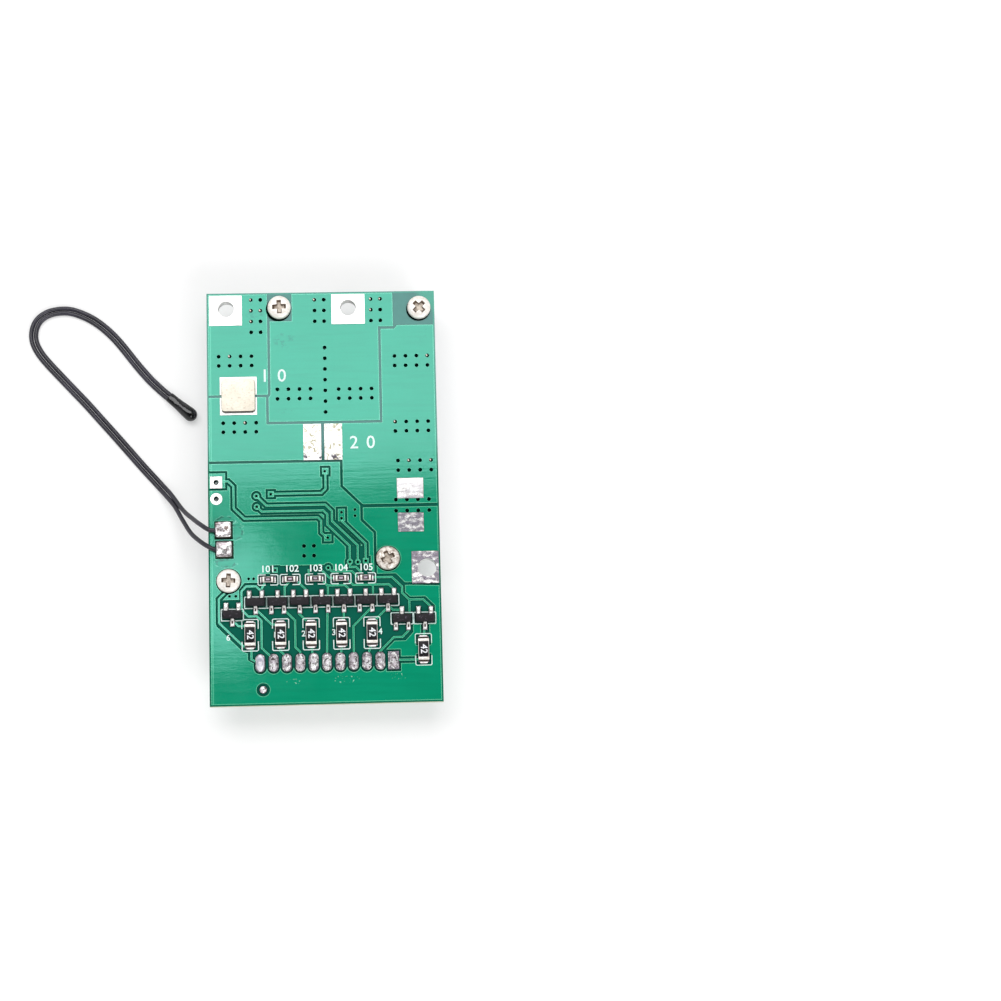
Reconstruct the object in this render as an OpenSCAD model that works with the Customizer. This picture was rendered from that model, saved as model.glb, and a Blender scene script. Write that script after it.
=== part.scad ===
// Battery management board for a pack of ten cells in series.
// The board lies on its aluminium heatsink. X runs along the balance header, Y along the board, Z up.
// The origin is under the middle of the board, on the surface that the heatsink rests on.

/* [Board] */
// Width of the bare board
board_w = 35; // [34.6:0.1:40]
// Length of the bare board
board_l = 63.5; // [63.5:0.5:72]
// Thickness of the bare board
board_t = 1.6; // [0.8:0.1:2.4]
// Thickness of the copper and the green mask over it
copper_t = 0.1; // [0.06:0.01:0.2]
// Bare margin between the copper and the board's edge
copper_margin = 0.25; // [0.15:0.05:0.4]
// Thickness of the tin on the open pads
tin_t = 0.1; // [0.05:0.01:0.2]
// Width of a signal track
track_w = 0.3; // [0.2:0.02:0.4]
// Bare gap beside a signal track
track_gap = 0.35; // [0.2:0.05:0.4]
// Width of the gap between two copper fields
channel_w = 0.4; // [0.25:0.05:0.6]
// Width of the gap between the fields that carry the battery's current
wide_channel_w = 0.5; // [0.3:0.05:0.8]
// Drill of the vias that join the thick fields
via_d = 0.5; // [0.3:0.05:0.7]
// Drill of the vias in the signal tracks
small_via_d = 0.35; // [0.2:0.05:0.5]

/* [Wire pads] */
// Hole for the two battery wires at the far end
wire_hole_d = 2.5; // [1.5:0.1:3]
// Hole for the battery wire at the right edge
edge_wire_hole_d = 2.8; // [1.5:0.1:3.2]
// Width and length of the solder that closes the large link
link_size = 5.1; // [4:0.1:5.4]
// Height of the solder that closes the large link
link_h = 0.7; // [0.3:0.1:1.2]

/* [Heatsink] */
// Thickness of the heatsink plate
heatsink_t = 3.5; // [3:0.1:6]
// How far the plate stays inside the board's sides
heatsink_inset = 0.5; // [0:0.1:1]
// Width of a cooling groove
groove_w = 1.2; // [0.6:0.1:1.6]
// Depth of a cooling groove
groove_d = 1.2; // [0.5:0.1:1.4]
// Distance between the middles of neighbouring grooves
groove_pitch = 2.6; // [2:0.1:4]
// Thickness of the thermal pad
thermal_pad_t = 0.5; // [0.3:0.1:1.5]

/* [Screws] */
// Thread diameter of the heatsink screws
screw_d = 2; // [1.6:0.1:2.5]
// Length of a screw under its head
screw_l = 6; // [5.5:0.1:6.4]
// Diameter of a pan head
head_d = 3.5; // [3:0.1:4]
// Height of a pan head
head_h = 1.3; // [0.8:0.1:1.8]
// Outside diameter of the spacers between board and plate
spacer_d = 3.8; // [3:0.1:4.4]
// Clearance around a screw in the board and in a spacer, on the radius
screw_clearance = 0.1; // [0.05:0.01:0.2]
// Gap between the thread and its tapped hole, on the radius
thread_gap = 0.03; // [0.01:0.01:0.05]

/* [Balance header] */
// Number of header pins, one more than the cells
header_pins = 11; // [5:1:11]
// Distance between neighbouring pins
header_pitch = 2; // [1.9:0.05:2.1]
// Thickness of a square pin
pin_w = 0.5; // [0.4:0.02:0.55]
// Drill of a pin hole
pin_hole_d = 0.85; // [0.8:0.01:1]
// Depth of the header's housing, across the row
housing_w = 4.5; // [4:0.1:5]
// Height of the header's housing
housing_h = 6; // [5:0.1:6.3]
// Wall of the header's housing
housing_wall = 0.6; // [0.4:0.05:0.8]
// Housing beyond the first and last pins
housing_end = 1.95; // [1.5:0.05:2.4]
// Floor of the housing, which holds the pins
housing_floor = 1.6; // [1:0.1:2.4]

/* [Power transistors] */
// Height of a power transistor
mosfet_h = 2.3; // [2.1:0.1:2.8]
// Width of a power transistor's body
mosfet_w = 6.6; // [6:0.1:7]
// Length of a power transistor's body
mosfet_l = 6.1; // [5.6:0.1:6.3]
// Distance between neighbouring power transistors
mosfet_pitch = 8.8; // [8:0.1:9]

/* [Small parts] */
// Length of a small transistor's body
sot_l = 2.9; // [2.7:0.05:3]
// Width of a small transistor's body
sot_w = 1.3; // [1.2:0.05:1.6]
// Height of a small transistor
sot_h = 1; // [0.8:0.05:1.2]
// Length of a balance resistor
balance_l = 3.2; // [3:0.05:3.4]
// Width of a balance resistor
balance_chip_w = 1.6; // [1.4:0.05:1.7]
// Height of a balance resistor
balance_h = 0.55; // [0.4:0.05:0.7]
// Length of a gate resistor or filter chip
chip_l = 1.6; // [1.5:0.05:1.7]
// Width of a gate resistor or filter chip
chip_w = 0.8; // [0.7:0.05:0.9]
// Height of a gate resistor or filter chip
chip_h = 0.45; // [0.35:0.05:0.8]
// Length of a protection circuit's body
ic_l = 6.5; // [6:0.1:7]
// Width of a protection circuit's body
ic_w = 4.4; // [4:0.1:4.6]
// Height of a protection circuit
ic_h = 1.1; // [0.9:0.05:1.4]

/* [Thermistor] */
// Diameter of one insulated wire of the lead
wire_d = 0.7; // [0.5:0.02:0.7]
// Largest diameter of the bead
bead_d = 2.1; // [1.9:0.05:2.3]
// Width and length of the solder on a thermistor pad
wire_solder_w = 2.3; // [1.8:0.1:2.4]
// Height of the solder on a thermistor pad
wire_solder_h = 0.9; // [0.8:0.05:1.4]

/* [Hidden] */
$fn = 48;

// Levels above the surface that the heatsink rests on
board_z = heatsink_t + thermal_pad_t + mosfet_h + copper_t;
board_top = board_z + board_t;
under_seat = board_z - copper_t;
pad_seat = board_top + copper_t + tin_t;

// Places in the plan are written from the middle of a board of this width and length. When the board is
// made wider or longer, what lies beyond the side band keeps its distance from the nearest side, and what
// lies above or below the end line keeps its distance from the far end or the header's end.
STANDARD = [35, 63.5];
SIDE_BAND = 10.9;
END_LINE = 5.4;
grow = [board_w - STANDARD.x, board_l - STANDARD.y] / 2;
function side_shift(x) = abs(x) > SIDE_BAND ? sign(x) * grow.x : 0;
function end_shift(y) = y > END_LINE ? grow.y : -grow.y;
function place(p) = [for (i = [0:len(p) - 1]) p[i] + (i == 0 ? side_shift(p.x) : i == 1 ? end_shift(p.y) : 0)];
function places(list) = [for (p = list) place(p)];
function lines(list) = [for (line = list) places(line)];

// Screws, wire pads and the large link
SCREWS = places([[-6.35, 29.3], [15.1, 29], [9.55, -9.9], [-14.5, -12.9]]);
WIRE_HOLES = places([[-14.5, 29.2], [4.2, 29.2]]);
EDGE_WIRE_HOLE = place([15.5, -11.4]);
LINK = place([-12.75, 15.6]);
THERMISTOR_PADS = places([[-15.2, -5.1], [-15.1, -8.1]]);

// Open rectangles of tin, each [middle x, middle y, width, length]
POWER_PADS = places([[-14.6, 29, 5, 4.7], [4.2, 29, 5.1, 4.7], [15.2, -11.35, 4.1, 4.9]]);
LINK_PADS = places([
    [-12.75, 17.15, 5.6, 2.8], [-12.75, 14, 5.6, 2.7], [-1.6, 8.25, 2.7, 5.6], [1.6, 8.25, 2.7, 5.6]
]);
SHUNT_PADS = places([[13.15, 0.85, 4, 3.1], [13.15, -4.4, 3.9, 2.9]]);

// Unused two-pin place at the left edge: a square pad and a round one
SPARE_PITCH = 2.54;
SPARE_HOLE_D = 0.8;
SPARE_PAD = 1.8;
SPARE = place([-16.25, 2.25]);
SPARE_FIELD = places([[-17.3, 1.35], [-14.9, 3.65]]);

// Gaps between the copper fields
CHANNELS = lines([
    [[-8.05, 27.4], [-8.05, 15.75], [-8.35, 15.45], [-8.35, 11.3], [8.95, 11.3], [8.95, 26], [11.1, 26],
        [11.5, 26.4]],
    [[-18, 15.55], [-8.05, 15.55]],
    [[-18, 5.3], [2.75, 5.3], [2.75, 1.35], [5.7, -1.6], [5.7, -3.9], [7.65, -5.85], [7.65, -12.5]],
    [[11.8, -13.8], [13.2, -13.8], [18, -14]]
]);
WIDE_CHANNELS = lines([[[0, 11.3], [0, 5.3]], [[5.7, -1.75], [18, -1.75]]]);

// Bare corners around the two screws at the far end, each [lower corner, upper corner]
BARE_CORNERS = lines([[[-8.25, 27.2], [-4.45, 33]], [[11.05, 26.35], [18, 33]]]);

// Edge of the bare ground around the balance circuit
BALANCE_GROUND = places([
    [-16.4, -16.2], [-15.9, -15.75], [-12.95, -15.75], [-12.95, -14.2], [-12.1, -13.2], [-10.1, -13.2],
    [-10.1, -11.9], [-8.3, -11.9], [-8.3, -10.7], [1.2, -10.7], [1.2, -11.5], [3.2, -11.5], [3.2, -7.9],
    [6.7, -7.9], [6.7, -11.4], [7.5, -12.2], [10.7, -12.2], [12.05, -13.6], [12.05, -15.1], [12.8, -15.8],
    [15.1, -15.8], [16.5, -17.2], [16.5, -20], [15.6, -20], [15.6, -21.4], [14.3, -21.4], [14.3, -20],
    [13.15, -20], [13.15, -21.2], [11.95, -22.45], [10.3, -22.45], [9, -23.75], [9, -25.4], [-10.9, -25.4],
    [-11.75, -24.9], [-11.75, -23.9], [-12.5, -23.6], [-16.4, -19.7]
]);

// Signal tracks that cross the copper fields
FIELD_TRACKS = lines([
    [[-15.4, 2.4], [-14.45, 2.4], [-13.65, 1.6], [-13.65, -1.8], [-12.05, -3.4], [-0.95, -3.4], [-0.45, -3.9],
        [-0.45, -5.75], [0.35, -6.55]],
    [[0.3, 3.7], [0.3, 1], [-0.35, 0.35], [-8, 0.35]],
    [[-10.2, 0.05], [-8.7, -1.45], [0.2, -1.45], [1.2, -2.45], [1.2, -4], [5, -7.8], [5, -10.35]],
    [[-10.15, -1.6], [-9.4, -2.35], [-0.1, -2.35], [0.5, -2.95], [0.5, -4.55], [3.8, -7.85], [3.8, -10.3]],
    [[2.65, -4], [6.2, -7.55], [6.2, -10.2]],
    [[-14.6, -14.2], [-16, -15.6], [-16, -19.2], [-12.4, -22.8], [-11.4, -22.8]],
    [[10.1, -25.35], [14.65, -25.35]]
]);

// Signal tracks on the bare ground of the balance circuit
BALANCE_TRACKS = lines([
    [[-9.55, -14.6], [-10.4, -13.75], [-11.9, -13.75], [-12.6, -14.45], [-12.6, -17.3], [-11.6, -18.3],
        [-10.35, -18.3], [-9.65, -19], [-9.65, -23.1], [-8, -24.75]],
    [[-10.5, -17.2], [-8.1, -19.6], [-6.9, -19.6]],
    [[-6.25, -17.4], [-4.6, -19.05], [-4.6, -23.1], [-3.9, -23.8], [-3.9, -25]],
    [[-3.95, -17.4], [-3.95, -18.1], [-2.3, -19.75]],
    [[0.3, -17.4], [0.1, -25]],
    [[2.75, -17.4], [2.75, -18.8], [2.4, -19.2]],
    [[6.95, -17.3], [4.15, -20.1], [4.15, -25]],
    [[9.4, -17.3], [7, -19.7]],
    [[9.6, -17.2], [10.15, -17.75], [11.5, -17.75]],
    [[12.45, -20.6], [12.45, -20.95], [11.5, -21.9], [10.2, -21.9], [8.1, -24], [8.1, -25]],
    [[6.1, -12.75], [10.1, -12.75], [11.6, -14.25], [11.6, -15.2], [12.65, -16.25], [14.75, -16.25],
        [15.9, -17.4]],
    [[12.65, -16.25], [12.65, -18.6]],
    [[3.2, -12.8], [4.25, -13.85], [9.6, -13.85], [10.35, -14.6]],
    [[7.2, -13.85], [7.2, -15.6]],
    [[-0.7, -12.8], [0.35, -13.85], [3, -13.85], [3.75, -14.6]],
    [[0.4, -13.85], [0.4, -15.6]],
    [[-5.1, -12.9], [-6.1, -13.9], [-6.1, -15.6]],
    [[-4.5, -12.8], [-2.9, -14.4]],
    [[-8.9, -12.9], [-9.6, -14.2]],
    [[0.5, -11.15], [1.1, -11.75], [4.1, -11.75], [5.1, -12.75]],
    [[-0.4, -11.6], [0.75, -12.75], [1.6, -12.75]],
    [[3.8, -10.3], [3.8, -11.1], [4.7, -11.1], [5.5, -11.9]],
    [[-2.45, -11.3], [-2.45, -12.8]],
    [[-14, -19.3], [-13.55, -19.3], [-13.1, -19.75], [-11.6, -19.75]],
    [[-11.2, -22.8], [-11.2, -24.8], [-10.1, -25.4]],
    [[-6.9, -22.8], [-6.9, -23.6], [-6, -24.5]],
    [[-2.2, -22.8], [-2, -24.8]],
    [[2.4, -22.8], [2.15, -24.8]],
    [[6.9, -22.8], [6.2, -24.6]],
    [[14.9, -20.4], [14.7, -22]]
]);

// Vias through the thick fields: [left x, lower y, column pitch, row pitch, columns, rows]
VIA_GRIDS = places([
    [-10.7, 25.55, 1.45, 1.7, 2, 4], [-0.95, 27.15, 1.45, 1.7, 2, 3], [7.7, 27.15, 1.45, 1.7, 2, 3],
    [-15.7, 20.35, 1.67, 1.45, 4, 2], [11.2, 20, 1.68, 1.5, 4, 2], [0.5, 12.9, 1, 1.68, 1, 7],
    [-6.8, 15.05, 1.68, 1.5, 4, 2], [2.55, 15, 1.68, 1.45, 4, 2], [-15.1, 10, 1.67, 1.4, 4, 2],
    [11.1, 9.75, 1.68, 1.45, 4, 2], [11.4, 3.65, 1.68, 1.5, 4, 2], [10.95, -0.9, 1.68, 1, 4, 1],
    [10.95, -2.6, 1.68, 1, 4, 1], [-3.1, -9.25, 1.5, 1.5, 2, 2]
]);
SMALL_VIAS = places([
    [4.7, -2.3], [4.7, -3.25], [2.65, -2.7], [2.65, -3.6], [-11.5, -12.6], [-10.75, -12.6], [-14.4, -15.2],
    [-13.45, -15.2], [0.5, -6.55], [0.2, 3.7], [-8, 0.3], [-10.2, 0.05], [-10.15, -1.6], [3.8, -10.3],
    [5, -10.35], [6.2, -10.2], [-7.5, -11.35], [0.5, -11.15]
]);

// Masked lands around the signal vias: round ones [x, y, diameter], square ones [x, y, width, length]
ROUND_LANDS = places([
    [-10.2, 0.05, 0.9], [-10.15, -1.6, 0.9], [3.8, -10.3, 0.9], [5, -10.35, 0.9], [0.5, -11.15, 0.8]
]);
SQUARE_LANDS = places([
    [2.65, -3.1, 1.05, 1.9], [0.5, -6.55, 1.1, 1.1], [0.3, 3.7, 0.95, 1], [-8, 0.3, 0.9, 0.9],
    [6.2, -10.2, 0.85, 0.85], [-7.5, -11.35, 0.8, 0.8]
]);

// Round mark that the placing machine looks for
FIDUCIAL = place([-9.5, -29.4]);
FIDUCIAL_D = 1.1;
FIDUCIAL_RING_D = 2;

// Bare gaps in the copper beside wire solder, header pads and power pads, and round a screw head or spacer
SOLDER_GAP = 0.2;
HEADER_GAP = 0.3;
LEAD_PAD_GAP = 0.25;
HEAD_GAP = 0.2;

// Header: middle of the pins and their oval pads
HEADER = place([0.1, -25.4]);
HEADER_PAD = [1.4, 2.7];
housing_l = (header_pins - 1) * header_pitch + 2 * housing_end;
PIN_PROUD = 0.9;
PIN_TIP_GAP = 2;
function pin_x(i) = HEADER.x + (i - (header_pins - 1) / 2) * header_pitch;

// Small transistors: [x, y, 1 where the pair of leads is on the far side, or -1]
SOT_ROW = [for (i = [0:6]) [-10.5 + 3.32 * i, -16.2, i % 2 == 0 ? 1 : -1]];
SOTS = concat(places(SOT_ROW), [[-14, -18 - grow.y, 1]], places([[11.5, -19.1, -1], [14.95, -19.1, 1]]));
SOT_LEAD_PITCH = 1.9;
SOT_LEAD_W = 0.4;
SOT_SPAN = 2.5;
SOT_PAD = [0.65, 1.1];
SOT_PAD_Y = 1.25;

// Balance resistors and gate resistors
BALANCE_RESISTORS = concat([for (i = [0:4]) [-11.37 + 4.58 * i, -21.15 - grow.y]], [place([14.65, -23.85])]);
BALANCE_PAD = [1.6, 0.95];
BALANCE_PAD_OUT = 0.35;
GATE_RESISTORS = places([for (x = [-8.6, -5.27, -1.45, 2.4, 6.12]) [x, -12.8]]);
CHIP_PAD = [0.8, 0.95];
CAP_PROUD = 0.03;

// Underside: two rows of power transistors face each other across the middle line
MOSFET_MID = place([0.3, 15.6]);
MOSFET_TAB = [5.3, 1.1];
MOSFET_TAB_T = 0.5;
MOSFET_TAB_GAP = 1.2;
MOSFET_LEAD = [0.8, 2.8];
MOSFET_LEAD_PITCH = 2.29;
MOSFET_X = [for (i = [0:3]) let (x = MOSFET_MID.x + (i - 1.5) * mosfet_pitch) x + side_shift(x)];
MOSFETS = [for (row = [1, -1], x = MOSFET_X) [x, MOSFET_MID.y, row]];
mosfet_reach = MOSFET_TAB_GAP / 2 + MOSFET_TAB.y + mosfet_l + MOSFET_LEAD.y;

// Underside: protection circuits, current shunts and the filters of the ten cells
IC_LEADS = 10;
IC_LEAD_PITCH = 0.65;
IC_SPAN = 6.4;
ICS = places([[-8.2, -4.8], [1.2, -4.8]]);
SHUNT_PITCH = 3.8;
SHUNTS = [for (i = [0, 1]) place([12.6, -4.6]) - [i * SHUNT_PITCH, 0]];
SHUNT_SIZE = [3.2, 6.4, 0.7];
FILTERS = header_pins - 1;
FILTER_PITCH = 2.5;
FILTER_RESISTOR_Y = -17.4 - grow.y;
FILTER_CAPACITOR_Y = -20.4 - grow.y;
function filter_x(i) = (i - (FILTERS - 1) / 2) * FILTER_PITCH;

// Heatsink outline, with a notch for each wire pad: [lower corner, upper corner]
heatsink_lo = [-board_w / 2 + heatsink_inset, -15.3 - grow.y];
heatsink_hi = [board_w / 2 - heatsink_inset, board_l / 2 - heatsink_inset];
HEATSINK_CORNER = 1;
WIRE_NOTCHES = lines([[[-24, 26.3], [-11.6, 40]], [[1.3, 26.3], [7.1, 40]], [[12.7, -20], [24, -8.4]]]);
THERMAL_PAD_GROWTH = 0.2;

// Thermistor: the twin lead's middle line on the surface, from the board's side to the bead
LEAD_PITCH = 0.74;
LEAD_SHIFT = -grow;
lead_z = wire_d / 2 + 0.02;
bead_rise = (bead_d - wire_d) / 2;
LEAD_MIDDLE = [
    [-24, 1.6, 1], [-25.6, 3.5, 0], [-27.8, 6, 0], [-30, 8.6, 0], [-32.2, 11.2, 0], [-34.4, 13.75, 0],
    [-36.6, 16.3, 0], [-38.8, 18.7, 0], [-40.9, 21, 0], [-42.6, 22.9, 0], [-43.9, 24.6, 0], [-44.7, 26.3, 0],
    [-44.8, 28, 0], [-44.2, 29.6, 0], [-42.9, 30.7, 0], [-41.2, 31.2, 0], [-39.3, 31.2, 0], [-37.4, 30.6, 0],
    [-35.5, 29.6, 0], [-33.7, 28.2, 0], [-32.2, 26.7, 0], [-30.8, 25, 0], [-28.9, 22.5, 0], [-26.9, 20.1, 0],
    [-25.2, 18.4, 0], [-23.9, 17.2, bead_rise / 2], [-22.7, 16.15, bead_rise]
];
// Each wire's own points from its solder joint to where the two meet: [x, y, height over the joint's middle]
WIRE_TAILS = [
    [[-16.4, -5.2, 0], [-17.3, -5.1, 0], [-18.6, -4.2, -0.7], [-20, -2.9, -2.6], [-21.6, -1.2, -4.9]],
    [[-16.3, -8.2, 0], [-17.2, -7.8, 0], [-18.5, -6.9, -0.7], [-20.2, -5.2, -2.6], [-21.7, -2.7, -4.6],
        [-22.9, -0.5, -5.9]]
];

// ---- Helpers for flat shapes ----

// A line of points moved sideways by d, with mitred corners
function beside(p, d) = [
    for (i = [0:len(p) - 1])
        let (
            before = i == 0 ? p[1] - p[0] : p[i] - p[i - 1],
            after = i == len(p) - 1 ? before : p[i + 1] - p[i],
            way = before / norm(before),
            bend = way + after / norm(after),
            mid = bend / norm(bend)
        )
        p[i] + [-mid.y, mid.x] * d / (mid * way)
];

function reversed(p) = [for (i = [len(p) - 1:-1:0]) p[i]];

// Outline of a track of width w along the points p
module track(p, w) polygon(concat(beside(p, w / 2), reversed(beside(p, -w / 2))));

module tracks(list, w) for (p = list) track(p, w);

module box_2d(lo, hi) translate(lo) square(hi - lo);

// Rectangle with round corners
module round_rect(lo, hi, r) {
    box_2d(lo + [r, 0], hi - [r, 0]);
    box_2d(lo + [0, r], hi - [0, r]);
    for (x = [lo.x + r, hi.x - r], y = [lo.y + r, hi.y - r]) translate([x, y]) circle(r);
}

// Pad with half-round ends, along Y
module oval(w, l) {
    square([w, l - w], center = true);
    for (s = [1, -1]) translate([0, s * (l - w) / 2]) circle(w / 2);
}

// Rectangles of a list [x, y, width, length], each grown by g on all sides
module lands(list, g = 0)
    for (p = list) translate([p[0], p[1]]) square([p[2] + 2 * g, p[3] + 2 * g], center = true);

// ---- Helpers for solids ----

// Plan shape between two levels
module layer(z, t) translate([0, 0, z]) linear_extrude(t) children();

// What hangs under the board: its Z runs down from the copper on the underside
module under() translate([0, 0, under_seat]) mirror([0, 0, 1]) children();

// Turns what faces the far end to face the near end where way is -1
module facing(way) mirror([0, way < 0 ? 1 : 0, 0]) children();

module along_x(l) rotate([90, 0, 90]) translate([0, 0, -l / 2]) linear_extrude(l) children();

module along_y(w) rotate([90, 0, 0]) translate([0, 0, -w / 2]) linear_extrude(w) children();

// Side view of a moulded body: the sides lean in above and below the parting line
module moulded_side(w, h, draft) polygon([
    [-w / 2 + draft, 0], [w / 2 - draft, 0], [w / 2, h / 2],
    [w / 2 - draft, h], [-w / 2 + draft, h], [-w / 2, h / 2]
]);

module moulded_body(l, w, h, draft) intersection() {
    along_x(l) moulded_side(w, h, draft);
    along_y(w) moulded_side(l, h, draft);
}

// Bent lead in the YZ plane: out of the body at height z, down, and along the pad to the tip
module gull_lead(body, tip, z, t, w) {
    knee = body + 0.35 * (tip - body);
    foot = body + 0.6 * (tip - body);
    along_x(w) polygon([
        [body - 2 * t, z + t / 2], [knee, z + t / 2], [foot, t], [tip, t],
        [tip, 0], [foot - t, 0], [knee - t, z - t / 2], [body - 2 * t, z - t / 2]
    ]);
}

// Chip with metal caps on its ends, along X; face is 1 for the glass window of a resistor
module chip(l, w, h, cap, face) {
    for (s = [1, -1]) translate([s * (l - cap) / 2, 0, h / 2]) cube([cap, w, h], center = true);
    translate([0, 0, h / 2]) cube([l - cap, w - 2 * CAP_PROUD, h - 2 * CAP_PROUD], center = true);
    if (face == 1) translate([0, 0, h / 2]) cube([l - 2 * cap - 0.1, w - 4 * CAP_PROUD, h], center = true);
}

// ---- Plan of the holes ----

module via_holes() {
    for (g = VIA_GRIDS, i = [0:g[4] - 1], j = [0:g[5] - 1])
        translate([g[0] + i * g[2], g[1] + j * g[3]]) circle(d = via_d);
    for (p = SMALL_VIAS) translate(p) circle(d = small_via_d);
}

// Holes that something passes through
module fitting_holes() {
    for (p = WIRE_HOLES) translate(p) circle(d = wire_hole_d);
    translate(EDGE_WIRE_HOLE) circle(d = edge_wire_hole_d);
    for (p = SCREWS) translate(p) circle(screw_d / 2 + screw_clearance);
    for (i = [0:header_pins - 1]) translate([pin_x(i), HEADER.y]) circle(d = pin_hole_d);
    for (s = [0, 1]) translate(SPARE - [0, s * SPARE_PITCH]) circle(d = SPARE_HOLE_D);
}

// ---- Plan of the pads on the seen side ----

module header_pads(g = 0) {
    for (i = [0:header_pins - 2])
        translate([pin_x(i), HEADER.y]) oval(HEADER_PAD.x + 2 * g, HEADER_PAD.y + 2 * g);
    lands([[pin_x(header_pins - 1), HEADER.y, HEADER_PAD.x + 0.2, HEADER_PAD.y]], g);
}

module thermistor_pads(g = 0)
    for (p = THERMISTOR_PADS) lands([[p.x, p.y, wire_solder_w + 0.1, wire_solder_w + 0.1]], g);

module sot_pads() for (p = SOTS) translate([p[0], p[1]]) facing(p[2]) {
    for (s = [1, -1]) translate([s * SOT_LEAD_PITCH / 2, SOT_PAD_Y]) square(SOT_PAD, center = true);
    translate([0, -SOT_PAD_Y]) square(SOT_PAD, center = true);
}

module balance_pads(list, g = 0)
    for (p = list, s = [1, -1])
        lands([concat([p.x, p.y + s * ((balance_l - BALANCE_PAD.y) / 2 + BALANCE_PAD_OUT)], BALANCE_PAD)], g);

module gate_pads()
    for (p = GATE_RESISTORS, s = [1, -1]) lands([[p.x + s * (chip_l / 2), p.y, CHIP_PAD.x, CHIP_PAD.y]]);

module spare_pads() {
    translate(SPARE) square(SPARE_PAD, center = true);
    translate(SPARE - [0, SPARE_PITCH]) circle(d = SPARE_PAD);
}

module top_pads() {
    lands(POWER_PADS);
    lands(LINK_PADS);
    lands(SHUNT_PADS);
    spare_pads();
    thermistor_pads();
    header_pads();
    sot_pads();
    balance_pads(BALANCE_RESISTORS);
    gate_pads();
    translate(FIDUCIAL) circle(d = FIDUCIAL_D);
}

// ---- Plan of the copper on the seen side ----

module round_lands(g) for (p = ROUND_LANDS) translate([p[0], p[1]]) circle(p[2] / 2 + g);

module copper_sheet()
    square([board_w - 2 * copper_margin, board_l - 2 * copper_margin], center = true);

module top_fields() difference() {
    copper_sheet();
    tracks(CHANNELS, channel_w);
    tracks(WIDE_CHANNELS, wide_channel_w);
    for (c = BARE_CORNERS) box_2d(c[0], c[1]);
    polygon(BALANCE_GROUND);
    tracks(FIELD_TRACKS, track_w + 2 * track_gap);
    round_lands(track_gap);
    lands(SQUARE_LANDS, track_gap);
    box_2d(SPARE_FIELD[0] - [1, 1] * track_gap, SPARE_FIELD[1] + [1, 1] * track_gap);
    thermistor_pads(SOLDER_GAP);
    header_pads(HEADER_GAP);
    balance_pads([BALANCE_RESISTORS[len(BALANCE_RESISTORS) - 1]], track_gap);
    translate(FIDUCIAL) circle(d = FIDUCIAL_RING_D);
}

module top_copper_plan() difference() {
    union() {
        top_fields();
        tracks(FIELD_TRACKS, track_w);
        tracks(BALANCE_TRACKS, track_w);
        round_lands(0);
        lands(SQUARE_LANDS);
        box_2d(SPARE_FIELD[0], SPARE_FIELD[1]);
        top_pads();
    }
    for (p = SCREWS) translate(p) circle(head_d / 2 + HEAD_GAP);
    fitting_holes();
    via_holes();
}

// ---- Board and its layers ----

module circuit_board() color("#0f6a52") layer(board_z, board_t) difference() {
    square([board_w, board_l], center = true);
    fitting_holes();
    via_holes();
}

module top_copper() color("#2fb88c") layer(board_top, copper_t) top_copper_plan();

module tinned_pads() color("#cfcdc9") layer(board_top + copper_t, tin_t) difference() {
    top_pads();
    fitting_holes();
}

module link_solder() color("#e6dfd2") layer(pad_seat, link_h)
    round_rect(LINK - [link_size, link_size] / 2, LINK + [link_size, link_size] / 2, 0.6);

// ---- Underside copper ----

// Lead pads of the power transistors
module mosfet_lead_pads(g) for (m = MOSFETS, s = [1, -1])
    lands([[m.x + s * MOSFET_LEAD_PITCH, m.y + m.z * (mosfet_reach - 0.6), 1.3, 1.9]], g);

module ic_pads() for (c = ICS, i = [0:IC_LEADS - 1], s = [1, -1])
    lands([[c.x + (i - (IC_LEADS - 1) / 2) * IC_LEAD_PITCH, c.y + s * (IC_SPAN / 2 - 0.4), 0.35, 1.4]]);

module filter_pads() for (i = [0:FILTERS - 1], y = [FILTER_RESISTOR_Y, FILTER_CAPACITOR_Y], s = [1, -1])
    lands([[filter_x(i), y + s * chip_l / 2, CHIP_PAD.y, CHIP_PAD.x]]);

// Tracks from each header pin to its filter
module filter_tracks() for (i = [0:FILTERS - 1]) tracks([
    [[pin_x(i), HEADER.y], [pin_x(i), HEADER.y + 2.4], [filter_x(i), FILTER_CAPACITOR_Y - chip_l / 2]],
    [[filter_x(i), FILTER_CAPACITOR_Y + chip_l / 2], [filter_x(i), FILTER_RESISTOR_Y - chip_l / 2]]
], track_w);

// Bare ground around the filters and under the header
FILTER_GROUND = [[-13, -27.9 - grow.y], [13, -15.9 - grow.y]];
IC_GROUND = [4.2, 4.3];
drain_half = MOSFET_TAB_GAP / 2 + MOSFET_TAB.y + mosfet_l - 0.3;

module bottom_copper_plan() difference() {
    union() {
        difference() {
            copper_sheet();
            box_2d(FILTER_GROUND[0], FILTER_GROUND[1]);
            for (c = ICS) box_2d(c - IC_GROUND, c + IC_GROUND);
            for (s = [1, -1]) translate([0, MOSFET_MID.y + s * drain_half])
                square([board_w, wide_channel_w], center = true);
            mosfet_lead_pads(LEAD_PAD_GAP);
        }
        mosfet_lead_pads(0);
        ic_pads();
        filter_pads();
        filter_tracks();
    }
    fitting_holes();
    for (p = SCREWS) translate(p) circle(spacer_d / 2 + HEAD_GAP);
    translate(HEADER) square([housing_l + 0.3, housing_w + 0.3], center = true);
    via_holes();
}

module bottom_copper() color("#2fb88c") layer(under_seat, copper_t) bottom_copper_plan();

// ---- Small parts on the seen side ----

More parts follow.
